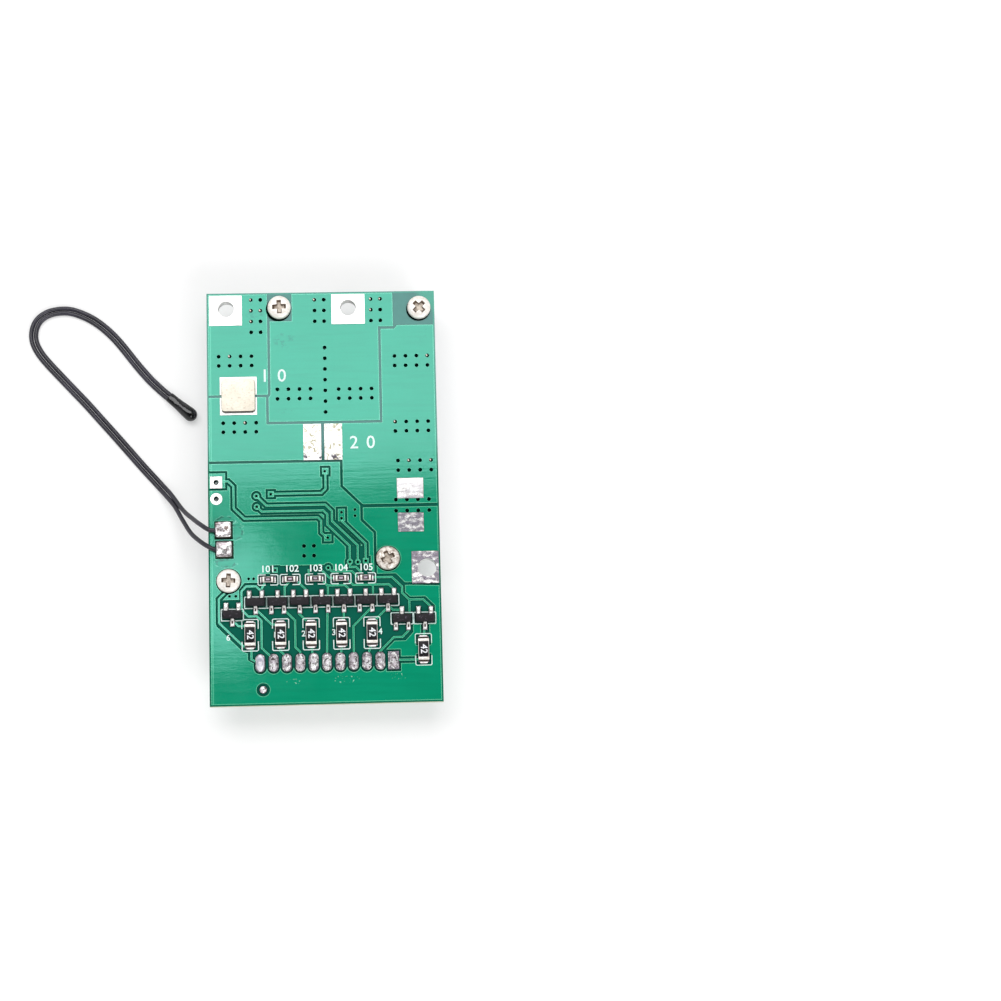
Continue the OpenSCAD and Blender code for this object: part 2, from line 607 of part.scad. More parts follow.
module transistor(n) {
    p = SOTS[n - 1];
    t = 0.14;
    color("#2b2a2f") translate([p[0], p[1], pad_seat]) facing(p[2]) {
        moulded_body(sot_l, sot_w, sot_h, 0.08);
        for (s = [1, -1]) translate([s * SOT_LEAD_PITCH / 2, 0, 0])
            gull_lead(sot_w / 2, SOT_SPAN / 2, sot_h / 2, t, SOT_LEAD_W);
        rotate([0, 0, 180]) gull_lead(sot_w / 2, SOT_SPAN / 2, sot_h / 2, t, SOT_LEAD_W);
    }
}

module balance_resistor(n) color("#2b2a2f")
    translate([BALANCE_RESISTORS[n - 1].x, BALANCE_RESISTORS[n - 1].y, pad_seat]) rotate([0, 0, 90])
        chip(balance_l, balance_chip_w, balance_h, 0.5, 1);

module gate_resistor(n) color("#4a4149")
    translate([GATE_RESISTORS[n - 1].x, GATE_RESISTORS[n - 1].y, pad_seat])
        chip(chip_l, chip_w, chip_h, 0.3, 1);

// ---- Screws, spacers, heatsink ----

// Half section of a pan-head screw, from its axis outwards
module screw_section() {
    translate([0, -screw_l + 0.3]) square([screw_d / 2, screw_l - 0.3]);
    polygon([[0, -screw_l], [screw_d / 2 - 0.3, -screw_l], [screw_d / 2, -screw_l + 0.3], [0, -screw_l + 0.3]]);
    intersection() {
        square([head_d / 2, head_h]);
        dome = (pow(head_d / 2, 2) + pow(head_h * 0.45, 2)) / (2 * head_h * 0.45);
        translate([0, head_h - dome]) circle(dome);
    }
}

// Cross recess of a driver
module cross_recess() for (a = [0, 90]) rotate([0, 0, a])
    translate([0, 0, head_h]) cube([head_d * 0.62, head_d * 0.19, head_h], center = true);

module heatsink_screws() color("#d9d4cc") for (p = SCREWS) translate([p.x, p.y, board_top]) difference() {
    rotate_extrude() screw_section();
    cross_recess();
}

module screw_spacers() color("#e9e6dc") for (p = SCREWS) translate([p.x, p.y]) layer(heatsink_t,
    board_z - heatsink_t) difference() {
    circle(d = spacer_d);
    circle(screw_d / 2 + screw_clearance);
}

module heatsink_plan() difference() {
    round_rect(heatsink_lo, heatsink_hi, HEATSINK_CORNER);
    for (n = WIRE_NOTCHES) round_rect(n[0], n[1], HEATSINK_CORNER);
    for (p = SCREWS) translate(p) circle(screw_d / 2 + thread_gap);
}

// Extruded plate, with cooling grooves along the board on its outer face
module heatsink() {
    width = heatsink_hi.x - heatsink_lo.x;
    grooves = floor((width - 2) / groove_pitch);
    color("#b9bcc0") difference() {
        layer(0, heatsink_t) heatsink_plan();
        for (i = [0:grooves - 1]) translate([(i - (grooves - 1) / 2) * groove_pitch, 0, 0])
            cube([groove_w, 2 * board_l, 2 * groove_d], center = true);
    }
}

module thermal_pad() {
    corner = [mosfet_w / 2, mosfet_reach - MOSFET_LEAD.y] + [1, 1] * THERMAL_PAD_GROWTH;
    color("#8fb8d8") layer(heatsink_t, thermal_pad_t)
        box_2d([MOSFET_X[0], MOSFET_MID.y] - corner, [MOSFET_X[3], MOSFET_MID.y] + corner);
}

// ---- Balance header ----

module header_housing() {
    inner = [housing_l - 2 * housing_wall, housing_w - 2 * housing_wall];
    depth = housing_h - housing_floor;
    color("#efe9dc") translate([HEADER.x, HEADER.y, board_z - housing_h]) difference() {
        translate([0, 0, housing_h / 2]) cube([housing_l, housing_w, housing_h], center = true);
        cube([inner.x, inner.y, 2 * depth], center = true);
        // Keys in the end walls and slits near the ends of the long wall
        cube([2 * housing_l, 1, 2 * depth - 2], center = true);
        for (s = [1, -1]) translate([s * (housing_l / 2 - 3), -housing_w / 2, 0])
            cube([0.9, 2 * housing_wall + 0.2, 2 * depth - 3], center = true);
        for (i = [0:header_pins - 1]) translate([pin_x(i) - HEADER.x, 0, housing_h / 2])
            cube([pin_w, pin_w, 2 * housing_h], center = true);
    }
}

module header_pin_rods() color("#d8d2c2") for (i = [0:header_pins - 1])
    translate([pin_x(i), HEADER.y]) layer(board_z - housing_h + PIN_TIP_GAP,
        housing_h - PIN_TIP_GAP + board_t + PIN_PROUD) square(pin_w, center = true);

// Solder cone around each pin
module header_solder() color("#d5d3d1") for (i = [0:header_pins - 1]) translate([pin_x(i), HEADER.y, pad_seat])
    difference() {
        union() {
            linear_extrude(0.2) oval(HEADER_PAD.x - 0.1, HEADER_PAD.y - 0.1);
            cylinder(h = PIN_PROUD - 0.3, d1 = HEADER_PAD.x - 0.15, d2 = pin_w + 0.35);
        }
        cube([pin_w, pin_w, 4], center = true);
    }

// ---- Underside parts ----

// Flat power package: a body, a metal tab towards the middle line and two bent leads
module mosfet(n) {
    m = MOSFETS[n - 1];
    body_mid = MOSFET_TAB_GAP / 2 + MOSFET_TAB.y + mosfet_l / 2;
    color("#26262a") under() translate([m.x, m.y, 0]) facing(m.z) {
        translate([0, body_mid, 0]) moulded_body(mosfet_w, mosfet_l, mosfet_h, 0.2);
        translate([0, body_mid - mosfet_l / 2, MOSFET_TAB_T / 2])
            cube([MOSFET_TAB.x, 2 * MOSFET_TAB.y, MOSFET_TAB_T], center = true);
        for (s = [1, -1]) translate([s * MOSFET_LEAD_PITCH, body_mid, 0])
            gull_lead(mosfet_l / 2, mosfet_l / 2 + MOSFET_LEAD.y, mosfet_h / 2, MOSFET_TAB_T, MOSFET_LEAD.x);
    }
}

module protection_ic(n) color("#232327") under() translate([ICS[n - 1].x, ICS[n - 1].y, 0]) {
    difference() {
        moulded_body(ic_l, ic_w, ic_h, 0.12);
        translate([-ic_l / 2 + 0.8, -ic_w / 2 + 0.8, ic_h]) cylinder(h = 0.2, d = 0.7, center = true);
    }
    for (i = [0:IC_LEADS - 1], a = [0, 180]) rotate([0, 0, a])
        translate([(i - (IC_LEADS - 1) / 2) * IC_LEAD_PITCH, 0, 0])
            gull_lead(ic_w / 2, IC_SPAN / 2, ic_h / 2, 0.13, 0.24);
}

module shunt_resistor(n) color("#2e3033") under() translate([SHUNTS[n - 1].x, SHUNTS[n - 1].y, 0])
    rotate([0, 0, 90]) chip(SHUNT_SIZE.y, SHUNT_SIZE.x, SHUNT_SIZE.z, 1.2, 1);

module filter_resistors() color("#35333a") under() for (i = [0:FILTERS - 1])
    translate([filter_x(i), FILTER_RESISTOR_Y, 0]) rotate([0, 0, 90]) chip(chip_l, chip_w, chip_h, 0.3, 1);

module filter_capacitors() color("#a98a62") under() for (i = [0:FILTERS - 1])
    translate([filter_x(i), FILTER_CAPACITOR_Y, 0]) rotate([0, 0, 90]) chip(chip_l, chip_w, chip_w, 0.35, 0);

// ---- Thermistor ----

// Solder joint with a flat side where its wire enters
module thermistor_solder() {
    w = wire_solder_w;
    h = wire_solder_h;
    color("#d5d3d1") for (p = THERMISTOR_PADS) translate([p.x, p.y, pad_seat]) intersection() {
        along_x(w) polygon([
            [-w / 2, 0], [w / 2, 0], [w / 2, h * 0.7], [w / 4, h], [-w / 4, h], [-w / 2, h * 0.7]
        ]);
        along_y(w) polygon([[-w / 2, 0], [w / 2, 0], [w / 2, h * 0.6], [w / 4, h], [-w / 2, h]]);
    }
}

tail_z = pad_seat + wire_solder_h / 2;

// Route of wire n: its own tail, then one side of the twin lead's middle line
function wire_route(n) = let (
    plan = [for (p = LEAD_MIDDLE) [p.x, p.y] + LEAD_SHIFT],
    side = beside(plan, n == 1 ? -LEAD_PITCH / 2 : LEAD_PITCH / 2)
) concat(
    [for (p = WIRE_TAILS[n - 1]) [p.x + LEAD_SHIFT.x, p.y + LEAD_SHIFT.y, tail_z + p.z]],
    [for (i = [0:len(plan) - 1]) [side[i].x, side[i].y, lead_z + LEAD_MIDDLE[i].z]]
);

function unit(v) = v / norm(v);

// Ring of eight points around a place on a wire that runs along way
function ring(at, way, d) = let (
    across = unit(cross(way, [0, 0, 1])),
    over = cross(across, way)
) [for (k = [0:7]) at + d / 2 * (across * cos(45 * k + 22.5) + over * sin(45 * k + 22.5))];

// Tube along a route, cut square to the given directions at its ends
module tube(route, d, first_way, last_way) {
    last = len(route) - 1;
    function way(i) = i == 0 ? first_way : i == last ? last_way : unit(route[i + 1] - route[i - 1]);
    points = [for (i = [0:last]) each ring(route[i], way(i), d)];
    sides = [for (i = [0:last - 1], k = [0:7])
        [8 * i + k, 8 * i + (k + 1) % 8, 8 * (i + 1) + (k + 1) % 8, 8 * (i + 1) + k]];
    polyhedron(points, concat([[for (k = [7:-1:0]) k]], sides, [[for (k = [0:7]) 8 * last + k]]), 4);
}

lead_end = LEAD_MIDDLE[len(LEAD_MIDDLE) - 1];
before_end = LEAD_MIDDLE[len(LEAD_MIDDLE) - 2];
bead_way = unit([lead_end.x - before_end.x, lead_end.y - before_end.y, 0]);
BEAD_L = 3.9;

module thermistor_wire(n) color("#1d1c20") tube(wire_route(n), wire_d, [-1, 0, 0], bead_way);

// Dipped bead: a blunt cone that ends in a ball, with a flat back where the wires enter
module thermistor_bead() color("#141416")
    translate([lead_end.x + LEAD_SHIFT.x, lead_end.y + LEAD_SHIFT.y, lead_z + lead_end.z])
        rotate([0, 90, atan2(bead_way.y, bead_way.x)]) rotate_extrude() {
            r = bead_d / 2;
            polygon([[0, 0], [LEAD_PITCH / 2 + wire_d / 2 + 0.08, 0], [r, BEAD_L - r], [0, BEAD_L - r]]);
            intersection() {
                translate([0, BEAD_L - r]) circle(r);
                translate([0, BEAD_L - r]) square(r);
            }
        }

circuit_board();
top_copper();
bottom_copper();
tinned_pads();
link_solder();
for (n = [1:len(SOTS)]) transistor(n);
for (n = [1:len(BALANCE_RESISTORS)])
    balance_resistor(n);
for (n = [1:len(GATE_RESISTORS)]) gate_resistor(n);
heatsink_screws();
screw_spacers();
heatsink();
thermal_pad();
header_housing();
header_pin_rods();  // header_pins
header_solder();
for (n = [1:len(MOSFETS)]) mosfet(n);
for (n = [1:len(ICS)]) protection_ic(n);
for (n = [1:len(SHUNTS)]) shunt_resistor(n);
filter_resistors();
filter_capacitors();
thermistor_solder();
for (n = [1, 2]) thermistor_wire(n);
thermistor_bead();
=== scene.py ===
"""Battery management board with its thermistor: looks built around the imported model."""
from contextlib import contextmanager
from math import atan2, cos, pi, radians, sin

import bmesh
import bpy
from mathutils import Euler, Matrix, Vector


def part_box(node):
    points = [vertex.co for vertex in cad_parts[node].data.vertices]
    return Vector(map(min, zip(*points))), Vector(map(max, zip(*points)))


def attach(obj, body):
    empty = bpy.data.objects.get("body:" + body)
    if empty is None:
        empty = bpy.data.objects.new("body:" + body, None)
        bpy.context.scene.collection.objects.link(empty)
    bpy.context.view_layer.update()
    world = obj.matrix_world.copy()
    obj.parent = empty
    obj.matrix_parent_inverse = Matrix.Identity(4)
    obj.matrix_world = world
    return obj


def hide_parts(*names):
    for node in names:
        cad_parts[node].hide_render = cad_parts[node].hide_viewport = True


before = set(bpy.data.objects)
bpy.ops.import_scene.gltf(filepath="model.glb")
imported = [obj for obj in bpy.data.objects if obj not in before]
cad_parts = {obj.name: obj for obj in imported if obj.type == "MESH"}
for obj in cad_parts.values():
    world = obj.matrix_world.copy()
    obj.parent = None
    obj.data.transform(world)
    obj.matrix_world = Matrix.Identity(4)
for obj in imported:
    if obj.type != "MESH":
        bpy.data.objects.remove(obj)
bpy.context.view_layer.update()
MM = 0.001


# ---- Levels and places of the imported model, in millimetres ----

def box(node):
    """Corners of a node."""
    lo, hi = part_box(node)
    return lo / MM, hi / MM


def foot(node):
    """Middle of a node in the plan, at its lowest level."""
    lo, hi = box(node)
    return Vector(((lo.x + hi.x) / 2, (lo.y + hi.y) / 2, lo.z))


UNDERSIDE = round(box("bottom_copper")[0].z, 3)
BOARD_TOP = round(box("circuit_board")[1].z, 3)
MASK_TOP = round(box("top_copper")[1].z, 3)
PAD_TOP = round(box("tinned_pads")[1].z, 3)
BOARD_MIDDLE = (UNDERSIDE + MASK_TOP) / 2
HALF_W = round(box("circuit_board")[1].x, 3)
HALF_L = round(box("circuit_board")[1].y, 3)
WIRE_HOLES = ((-14.5, 29.2), (4.2, 29.2), (15.5, -11.4))


# ---- Finishes ----

def rgb(red, green, blue):
    """Colour written as 0 to 255 on screen."""
    def plain(value):
        value /= 255
        return value / 12.92 if value <= 0.04045 else ((value + 0.055) / 1.055) ** 2.4
    return (plain(red), plain(green), plain(blue), 1.0)


class Signal:
    """Output of a shader node that takes part in Python sums."""

    def __init__(self, nodes, socket):
        self.nodes, self.socket = nodes, socket

    def reckon(self, operation, first, second):
        return self.nodes.node("ShaderNodeMath", {"operation": operation}, {0: first, 1: second})

    def __add__(self, other):
        return self.reckon("ADD", self, other)

    def __sub__(self, other):
        return self.reckon("SUBTRACT", self, other)

    def __rsub__(self, other):
        return self.reckon("SUBTRACT", other, self)

    def __mul__(self, other):
        return self.reckon("MULTIPLY", self, other)

    def __lt__(self, other):
        return self.reckon("LESS_THAN", self, other)

    def __abs__(self):
        return self.reckon("ABSOLUTE", self, 0.0)

    __radd__ = __add__
    __rmul__ = __mul__


class Nodes:
    """Node tree that is emptied and built anew."""

    def __init__(self, holder, ending):
        holder.use_nodes = True
        self.tree = holder.node_tree
        self.tree.nodes.clear()
        self.result = self.tree.nodes.new(ending)

    def join(self, socket, value):
        if isinstance(value, Signal):
            self.tree.links.new(value.socket, socket)
        else:
            socket.default_value = value

    def node(self, kind, settings=None, values=None, out=0):
        made = self.tree.nodes.new(kind)
        for key, value in (settings or {}).items():
            setattr(made, key, value)
        for key, value in (values or {}).items():
            self.join(made.inputs[key], value)
        return Signal(self, made.outputs[out])

    def show(self, shader):
        self.join(self.result.inputs["Surface"], shader)

    def axis(self, vector, letter):
        return self.node("ShaderNodeSeparateXYZ", {}, {0: vector}, out="XYZ".index(letter))


class Finish(Nodes):
    """Material made of nodes."""

    def __init__(self, name, **constants):
        self.material = bpy.data.materials.new(name)
        super().__init__(self.material, "ShaderNodeOutputMaterial")
        self.surface = self.tree.nodes.new("ShaderNodeBsdfPrincipled")
        self.show(self.own_shader())
        self.paint(**constants)

    def own_shader(self):
        return Signal(self, self.surface.outputs[0])

    def paint(self, **values):
        """Sets the surface's sockets: base_color is Base Color, and so on."""
        names = {"specular_level": "Specular IOR Level"}
        for key, value in values.items():
            self.join(self.surface.inputs[names.get(key, key.replace("_", " ").title())], value)
        return self

    def place(self, stretch=(1, 1, 1), turn=(0, 0, 0), centre=(0, 0, 0)):
        """Object coordinates in millimetres."""
        spot = self.node("ShaderNodeTexCoord", out="Object")
        return self.node("ShaderNodeMapping", {"vector_type": "POINT"}, {
            "Vector": spot, "Scale": [1000 * s for s in stretch], "Rotation": turn,
            "Location": [-c * s for c, s in zip(centre, stretch)]})

    def noise(self, scale, detail=3.0, rough=0.5, at=None):
        return self.node("ShaderNodeTexNoise", {}, {
            "Vector": at or self.place(), "Scale": scale, "Detail": detail, "Roughness": rough})

    def between(self, value, low, high):
        """0 up to low, 1 from high on."""
        return self.node("ShaderNodeMapRange", {"interpolation_type": "SMOOTHSTEP"},
                         {0: value, 1: low, 2: high, 3: 0.0, 4: 1.0})

    def around(self, value, level, near, far):
        """1 where the value is nearer to a level than near, 0 where it is farther than far."""
        return 1 - self.between(abs(value - level), near, far)

    def blend(self, share, first, second):
        return self.node("ShaderNodeMix", {"data_type": "RGBA"}, {0: share, 6: first, 7: second}, out=2)

    def shades(self, value, low, high, first, second):
        """The first colour where the value is low, the second where it is high."""
        return self.blend(self.between(value, low, high), first, second)

    def normal(self):
        return self.node("ShaderNodeNewGeometry", out="Normal")

    def facing(self):
        """1 on faces that look up or down, 0 on walls."""
        return self.between(abs(self.axis(self.normal(), "Z")), 0.5, 0.8)

    def bump(self, height, depth, strength=1.0, edge=None):
        """Normal of a relief whose height runs to depth millimetres, rounded over the edges if asked."""
        values = {"Strength": strength, "Distance": depth * MM, "Height": height}
        if edge:
            values["Normal"] = self.soft_edge(edge)
        return self.node("ShaderNodeBump", {}, values)

    def soft_edge(self, radius):
        """Normal rounded over the edges by a radius in millimetres."""
        return self.node("ShaderNodeBevel", {"samples": 6}, {"Radius": radius * MM})

    def reach(self, x, y, half_x, half_y):
        """Distance in the plan from a place, 1 on the oval of these half widths."""
        spot = self.place(stretch=(1 / half_x, 1 / half_y, 0), centre=(x, y, 0))
        return self.node("ShaderNodeVectorMath", {"operation": "LENGTH"}, {0: spot}, out="Value")

    def patch(self, x, y, half_x, half_y, inner=0.6, outer=1.0):
        """1 in the middle of an oval, 0 past its edge."""
        return 1 - self.between(self.reach(x, y, half_x, half_y), inner, outer)

    def occlusion_shade(self, distance, low, high):
        """0 on open faces, 1 deep in the corners within a distance in millimetres: how much painted shade a
        corner gets.
        """
        open_share = self.node("ShaderNodeAmbientOcclusion", {"samples": 6}, {"Distance": distance * MM},
                               out="AO")
        return self.between(1 - open_share, low, high)

    def rim(self, radius, spread):
        """1 on the strip beside an edge, 0 on the open face."""
        same = self.node("ShaderNodeVectorMath", {"operation": "DOT_PRODUCT"},
                         {0: self.soft_edge(radius), 1: self.normal()}, out="Value")
        return self.between(1 - same, 0.0, spread)


MASK_GREEN = rgb(5, 138, 102)
MASK_RIM_AND_HIGHLIGHT = rgb(126, 226, 184)
BARE_GREEN = rgb(5, 72, 60)
SHADED_WALL_GREEN = rgb(3, 46, 38)


def solder_mask():
    """Green mask over copper: lighter where it thins over an edge and painted with a highlight there, faintly
    streaked across the board.
    """
    f = Finish("solder_mask_on_copper", specular_level=0.95, specular_tint=(0.45, 1.0, 0.95, 1.0))
    clouds = f.noise(0.09, 3)
    grain = f.noise(3.2, 2)
    streaks = f.noise(1.0, 3, 0.6, at=f.place(stretch=(0.12, 1.5, 1)))
    green = f.shades(clouds, 0.35, 0.7, MASK_GREEN, rgb(8, 143, 107))
    green = f.blend(f.between(grain, 0.3, 0.75) * 0.2, green, rgb(5, 128, 93))
    green = f.blend(f.between(streaks, 0.4, 0.7) * 0.3, green, rgb(4, 122, 90))
    # Painted highlight along the copper's edges, where the mask also runs thin
    green = f.blend(f.rim(0.24, 0.2) * 0.85, green, MASK_RIM_AND_HIGHLIGHT)
    # Painted highlight along the left edge, where the mask also runs thin
    left_edge = 0.55 - HALF_W
    green = f.blend(f.around(f.axis(f.place(), "X"), left_edge, 0.03, 0.14) * 0.3, green, MASK_RIM_AND_HIGHLIGHT)
    # Rings of dried flux round the wire joints, each a dark line with a pale one outside it
    wander = f.noise(0.9, 3, 0.6)
    patchy = f.between(f.noise(1.4, 3, 0.6), 0.44, 0.58)
    for oval in ((-13.3, -5.3, 1.2, 1.5), (-15.0, -3.7, 1.7, 0.8), (-14.9, -10.1, 1.7, 0.8)):
        away = f.reach(*oval) + (wander - 0.5) * 1.1
        green = f.blend(f.around(away, 0.72, 0.06, 0.22) * patchy * 0.85, green, rgb(3, 80, 58))
        green = f.blend(f.around(away, 0.98, 0.02, 0.09) * patchy * 0.3, green, rgb(150, 220, 194))
    # Smears, and pale specks below the header's joints
    smear = f.between(f.noise(1.3, 4, 0.7), 0.52, 0.6)
    speck = f.between(f.noise(3.6, 2), 0.62, 0.68)
    for marks, strength, colour, ovals in (
            (smear, 0.5, rgb(4, 88, 70),
             ((-5.7, 24.2, 2.0, 1.5), (15.8, 24.6, 0.9, 1.6), (-5.7, 13.2, 1.4, 0.7), (-10, 28.5, 1.6, 2.0))),
            (speck, 0.7, rgb(170, 224, 202),
             ((-4.8, -28.2, 1.4, 0.7), (2.8, -28.1, 2.6, 0.7), (11, -27.8, 1.6, 0.6)))):
        for oval in ovals:
            green = f.blend(f.patch(*oval) * marks * strength, green, colour)
    # Painted shade on the mask beside the parts and joints that stand on it
    green = f.blend(f.occlusion_shade(0.5, 0.3, 0.6) * 0.85, green, rgb(2, 44, 36))
    relief = f.noise(0.8, 3) * 0.4 + streaks * 0.45 + grain * 0.15
    # Painted shade: walls are darker green than the faces that look up or down
    return f.paint(base_color=f.blend(f.facing(), SHADED_WALL_GREEN, green), normal=f.bump(relief, 0.015, 0.4),
                   roughness=0.055 + f.noise(0.3, 2) * 0.05)


def board_core():
    """Glass laminate: mask over its faces, bare fibre layers at its edges, plated or shade-painted walls in
    its holes.
    """
    f = Finish("mask_and_glass_edge", specular_level=0.8, specular_tint=(0.55, 1.0, 0.98, 1.0))
    facing = f.facing()
    x, y, z = (f.axis(f.place(), c) for c in "XYZ")

    def margin(width, fade):
        """1 on the strip along the board's four edges."""
        strips = [f.between(abs(way), half - width, half - width + fade)
                  for way, half in ((x, HALF_W), (y, HALF_L))]
        return strips[0] + strips[1]

    face = f.shades(f.noise(0.5, 3), 0.3, 0.7, BARE_GREEN, rgb(7, 82, 68))
    dull = 1 - f.between(y, 3.0, 9.0)
    face = f.blend(dull * 0.8, face, rgb(10, 92, 75))
    # Painted shade: darker in the corners beside the copper, except on the strip along the board's edges
    border = f.between(margin(0.3, 0.08), 0.0, 0.5)
    face = f.blend(f.occlusion_shade(0.4, 0.05, 0.4) * (1 - border) * 0.9, face, rgb(1, 28, 24))
    face = f.blend(border, face, rgb(14, 104, 80))
    # Light comes through the laminate at the corner that has no copper below
    face = f.blend(f.patch(HALF_W - 0.1, HALF_L - 0.35, 2.9, 3.2, 0.55, 1.1) * 0.75, face, rgb(6, 130, 96))
    layers = f.noise(1.0, 2, at=f.place(stretch=(1.2, 1.2, 9.0)))
    edge = f.shades(layers, 0.35, 0.65, rgb(176, 180, 144), rgb(206, 205, 176))
    skin = f.between(abs(z - BOARD_MIDDLE), 0.74, 0.79)
    edge = f.blend(skin * 0.5, edge, rgb(60, 140, 108))
    # Walls of the wire holes are plated; those of the small holes get the painted shade green of all walls
    left, middle, right = (f.reach(*hole, 2.2, 2.2) < 1 for hole in WIRE_HOLES)
    hole_wall = f.blend(left + middle + right, SHADED_WALL_GREEN, rgb(236, 234, 232))
    wall = f.blend(f.between(margin(0.15, 0.1), 0.2, 0.8), hole_wall, edge)
    colour = f.blend(facing, wall, face)
    f.paint(base_color=colour, roughness=0.085 + (1 - facing) * 0.45,
            normal=f.bump(layers * (1 - facing), 0.03, 0.5))
    # The laminate shines less towards the header
    plain = f.node("ShaderNodeBsdfPrincipled", {},
                   {"Base Color": colour, "Roughness": 0.35, "Specular IOR Level": 0.02})
    f.show(f.node("ShaderNodeMixShader", {}, {0: dull * facing, 1: f.own_shader(), 2: plain}))
    return f


def black_hole_shade():
    """Matt near-black standing for the shade in the via holes and round the screw heads."""
    f = Finish("black_hole_shade", specular_level=0.0)
    grain = f.noise(6.0, 2)
    return f.paint(base_color=f.blend(grain, rgb(0, 6, 4), rgb(0, 22, 18)), roughness=0.8 + grain * 0.2)


def levelled_tin():
    """Hot-levelled tin: smooth and white at the far end, mottled and scratched towards the header."""
    f = Finish("levelled_tin", metallic=0.7)
    x, y = (f.axis(f.place(), c) for c in "XY")
    near = (1 - f.between(y, -4.0, 6.0)) * f.between(x, -14.6, -13.8)
    middle_field = f.between(y, 4.6, 5.0) * (1 - f.between(y, 11.1, 11.4))
    pools = f.noise(0.75, 4, 0.6)
    grain = f.noise(4.5, 3, 0.65)
    colour = f.shades(pools, 0.35, 0.68, rgb(250, 249, 248), rgb(232, 231, 226))
    # Dried flux leaves olive tide marks, with dark crumbs at the lower end of the pads
    tide = f.noise(0.42, 2)
    for level in (0.44, 0.53, 0.6):
        colour = f.blend(f.around(tide, level, 0.003, 0.018) * middle_field * 0.8, colour, rgb(122, 116, 62))
    crumbs = f.between(f.noise(2.0, 3, 0.7, at=f.place(stretch=(1, 0.6, 1), turn=(0, 0, 0.5))), 0.54, 0.6)
    crumbs = crumbs * (1 - f.between(y, 5.9, 6.8)) * middle_field
    colour = f.blend(crumbs * 0.95, colour, rgb(52, 42, 60))
    # Scraped, blotched surface, and painted shade beside the parts that stand on the pads
    blotch = f.noise(0.95, 4, 0.72, at=f.place(stretch=(1, 1.7, 1), turn=(0, 0, 0.35)))
    edge_pad = f.between(y, -7.0, -6.0) * (1 - f.between(y, -3.2, -2.4))
    for share, stain_or_shade in ((f.between(blotch, 0.36, 0.53) * near, rgb(128, 122, 134)),
                         (f.between(grain, 0.54, 0.64) * near * 0.8, rgb(92, 80, 76)),
                         (edge_pad * 0.35, rgb(96, 100, 106)),
                         (f.occlusion_shade(0.35, 0.12, 0.5) * 0.75, rgb(58, 48, 42))):
        colour = f.blend(share, colour, stain_or_shade)
    return f.paint(base_color=colour, roughness=0.24 + grain * 0.25,
                   normal=f.bump(pools * 0.3 + blotch * 0.5 + grain * 0.2, 0.09, 0.7))


def joint_solder():
    """Hand-made joint: its bright ridges are painted white as highlights with pinkish grey as shading, brown
    flux lies in the hollows, and the grey creases are painted shade.
    """
    f = Finish("joint_solder", metallic=0.2)
    lumps = f.noise(1.1, 3, 0.6)
    flux = f.between(f.noise(1.9, 3, 0.6), 0.53, 0.59)
    colour = f.shades(lumps, 0.47, 0.53, rgb(255, 255, 255), rgb(206, 197, 204))
    # Painted shade: thin dark lines for the creases between the lumps
    colour = f.blend(f.around(f.noise(1.5, 2, 0.6), 0.5, 0.0, 0.04) * 0.85, colour, rgb(84, 74, 76))
    # Painted shade: the foot of the joint is dark where it meets the pad
    colour = f.blend(f.occlusion_shade(0.4, 0.3, 0.55) * 0.8, colour, rgb(40, 36, 34))
    colour = f.blend(flux * 0.9, colour, rgb(54, 42, 38))
    return f.paint(base_color=colour, roughness=0.3 + flux * 0.3, normal=f.bump(lumps, 0.35, 0.9))


def wire_joint_solder():
    """Joints of the thermistor wires: bright, with burnt flux in the pits of the upper one."""
    f = Finish("wire_joint_solder", metallic=0.85)
    lumps = f.noise(0.9, 4, 0.65)
    upper = f.between(f.axis(f.place(), "Y"), -7.0, -6.2)
    flux = f.between(f.noise(1.7, 3, 0.6), 0.52, 0.58) * upper
    colour = f.shades(lumps, 0.42, 0.6, rgb(252, 250, 250), rgb(164, 154, 158))
    colour = f.blend(flux * 0.9, colour, rgb(92, 74, 66))
    return f.paint(base_color=colour, roughness=0.24 + lumps * 0.1, normal=f.bump(lumps, 0.22, 0.8))


def link_tin():
    """Wide pool of solder: cream white, speckled and finely scratched."""
    f = Finish("link_tin", metallic=0.25)
    scratches = f.noise(1.0, 4, 0.7, at=f.place(stretch=(1.6, 5.0, 1.0), turn=(0, 0, radians(38))))
    speckle = f.noise(2.6, 3, 0.7)
    colour = f.shades(f.noise(0.6, 3), 0.35, 0.7, rgb(242, 235, 220), rgb(230, 222, 206))
    colour = f.blend(f.between(scratches, 0.5, 0.7) * 0.4, colour, rgb(196, 182, 160))
    colour = f.blend(f.between(speckle, 0.57, 0.66) * 0.5, colour, rgb(178, 160, 138))
    # Painted shade round the foot of the pool
    colour = f.blend(f.occlusion_shade(0.5, 0.2, 0.5) * 0.7, colour, rgb(128, 108, 86))
    return f.paint(base_color=colour, roughness=0.42 + scratches * 0.2,
                   normal=f.bump(scratches * 0.4 + speckle * 0.4, 0.04, 0.6))


def moulding(name, colour, roughness=0.42, flecks=0.0):
    """Filled epoxy of a package: dark, faintly speckled, with pale flecks of dust if asked."""
    f = Finish(name, specular_level=0.35)
    speck = f.noise(14.0, 2, 0.6)
    tint = f.shades(speck, 0.4, 0.75, colour, [min(1, c * 1.9) for c in colour[:3]] + [1])
    if flecks:
        tint = f.blend(f.between(f.noise(2.6, 3, 0.75), 0.58, 0.68) * flecks, tint, rgb(120, 108, 130))
    return f.paint(base_color=tint, roughness=roughness + speck * 0.2, normal=f.bump(speck, 0.012, 0.6, 0.04))


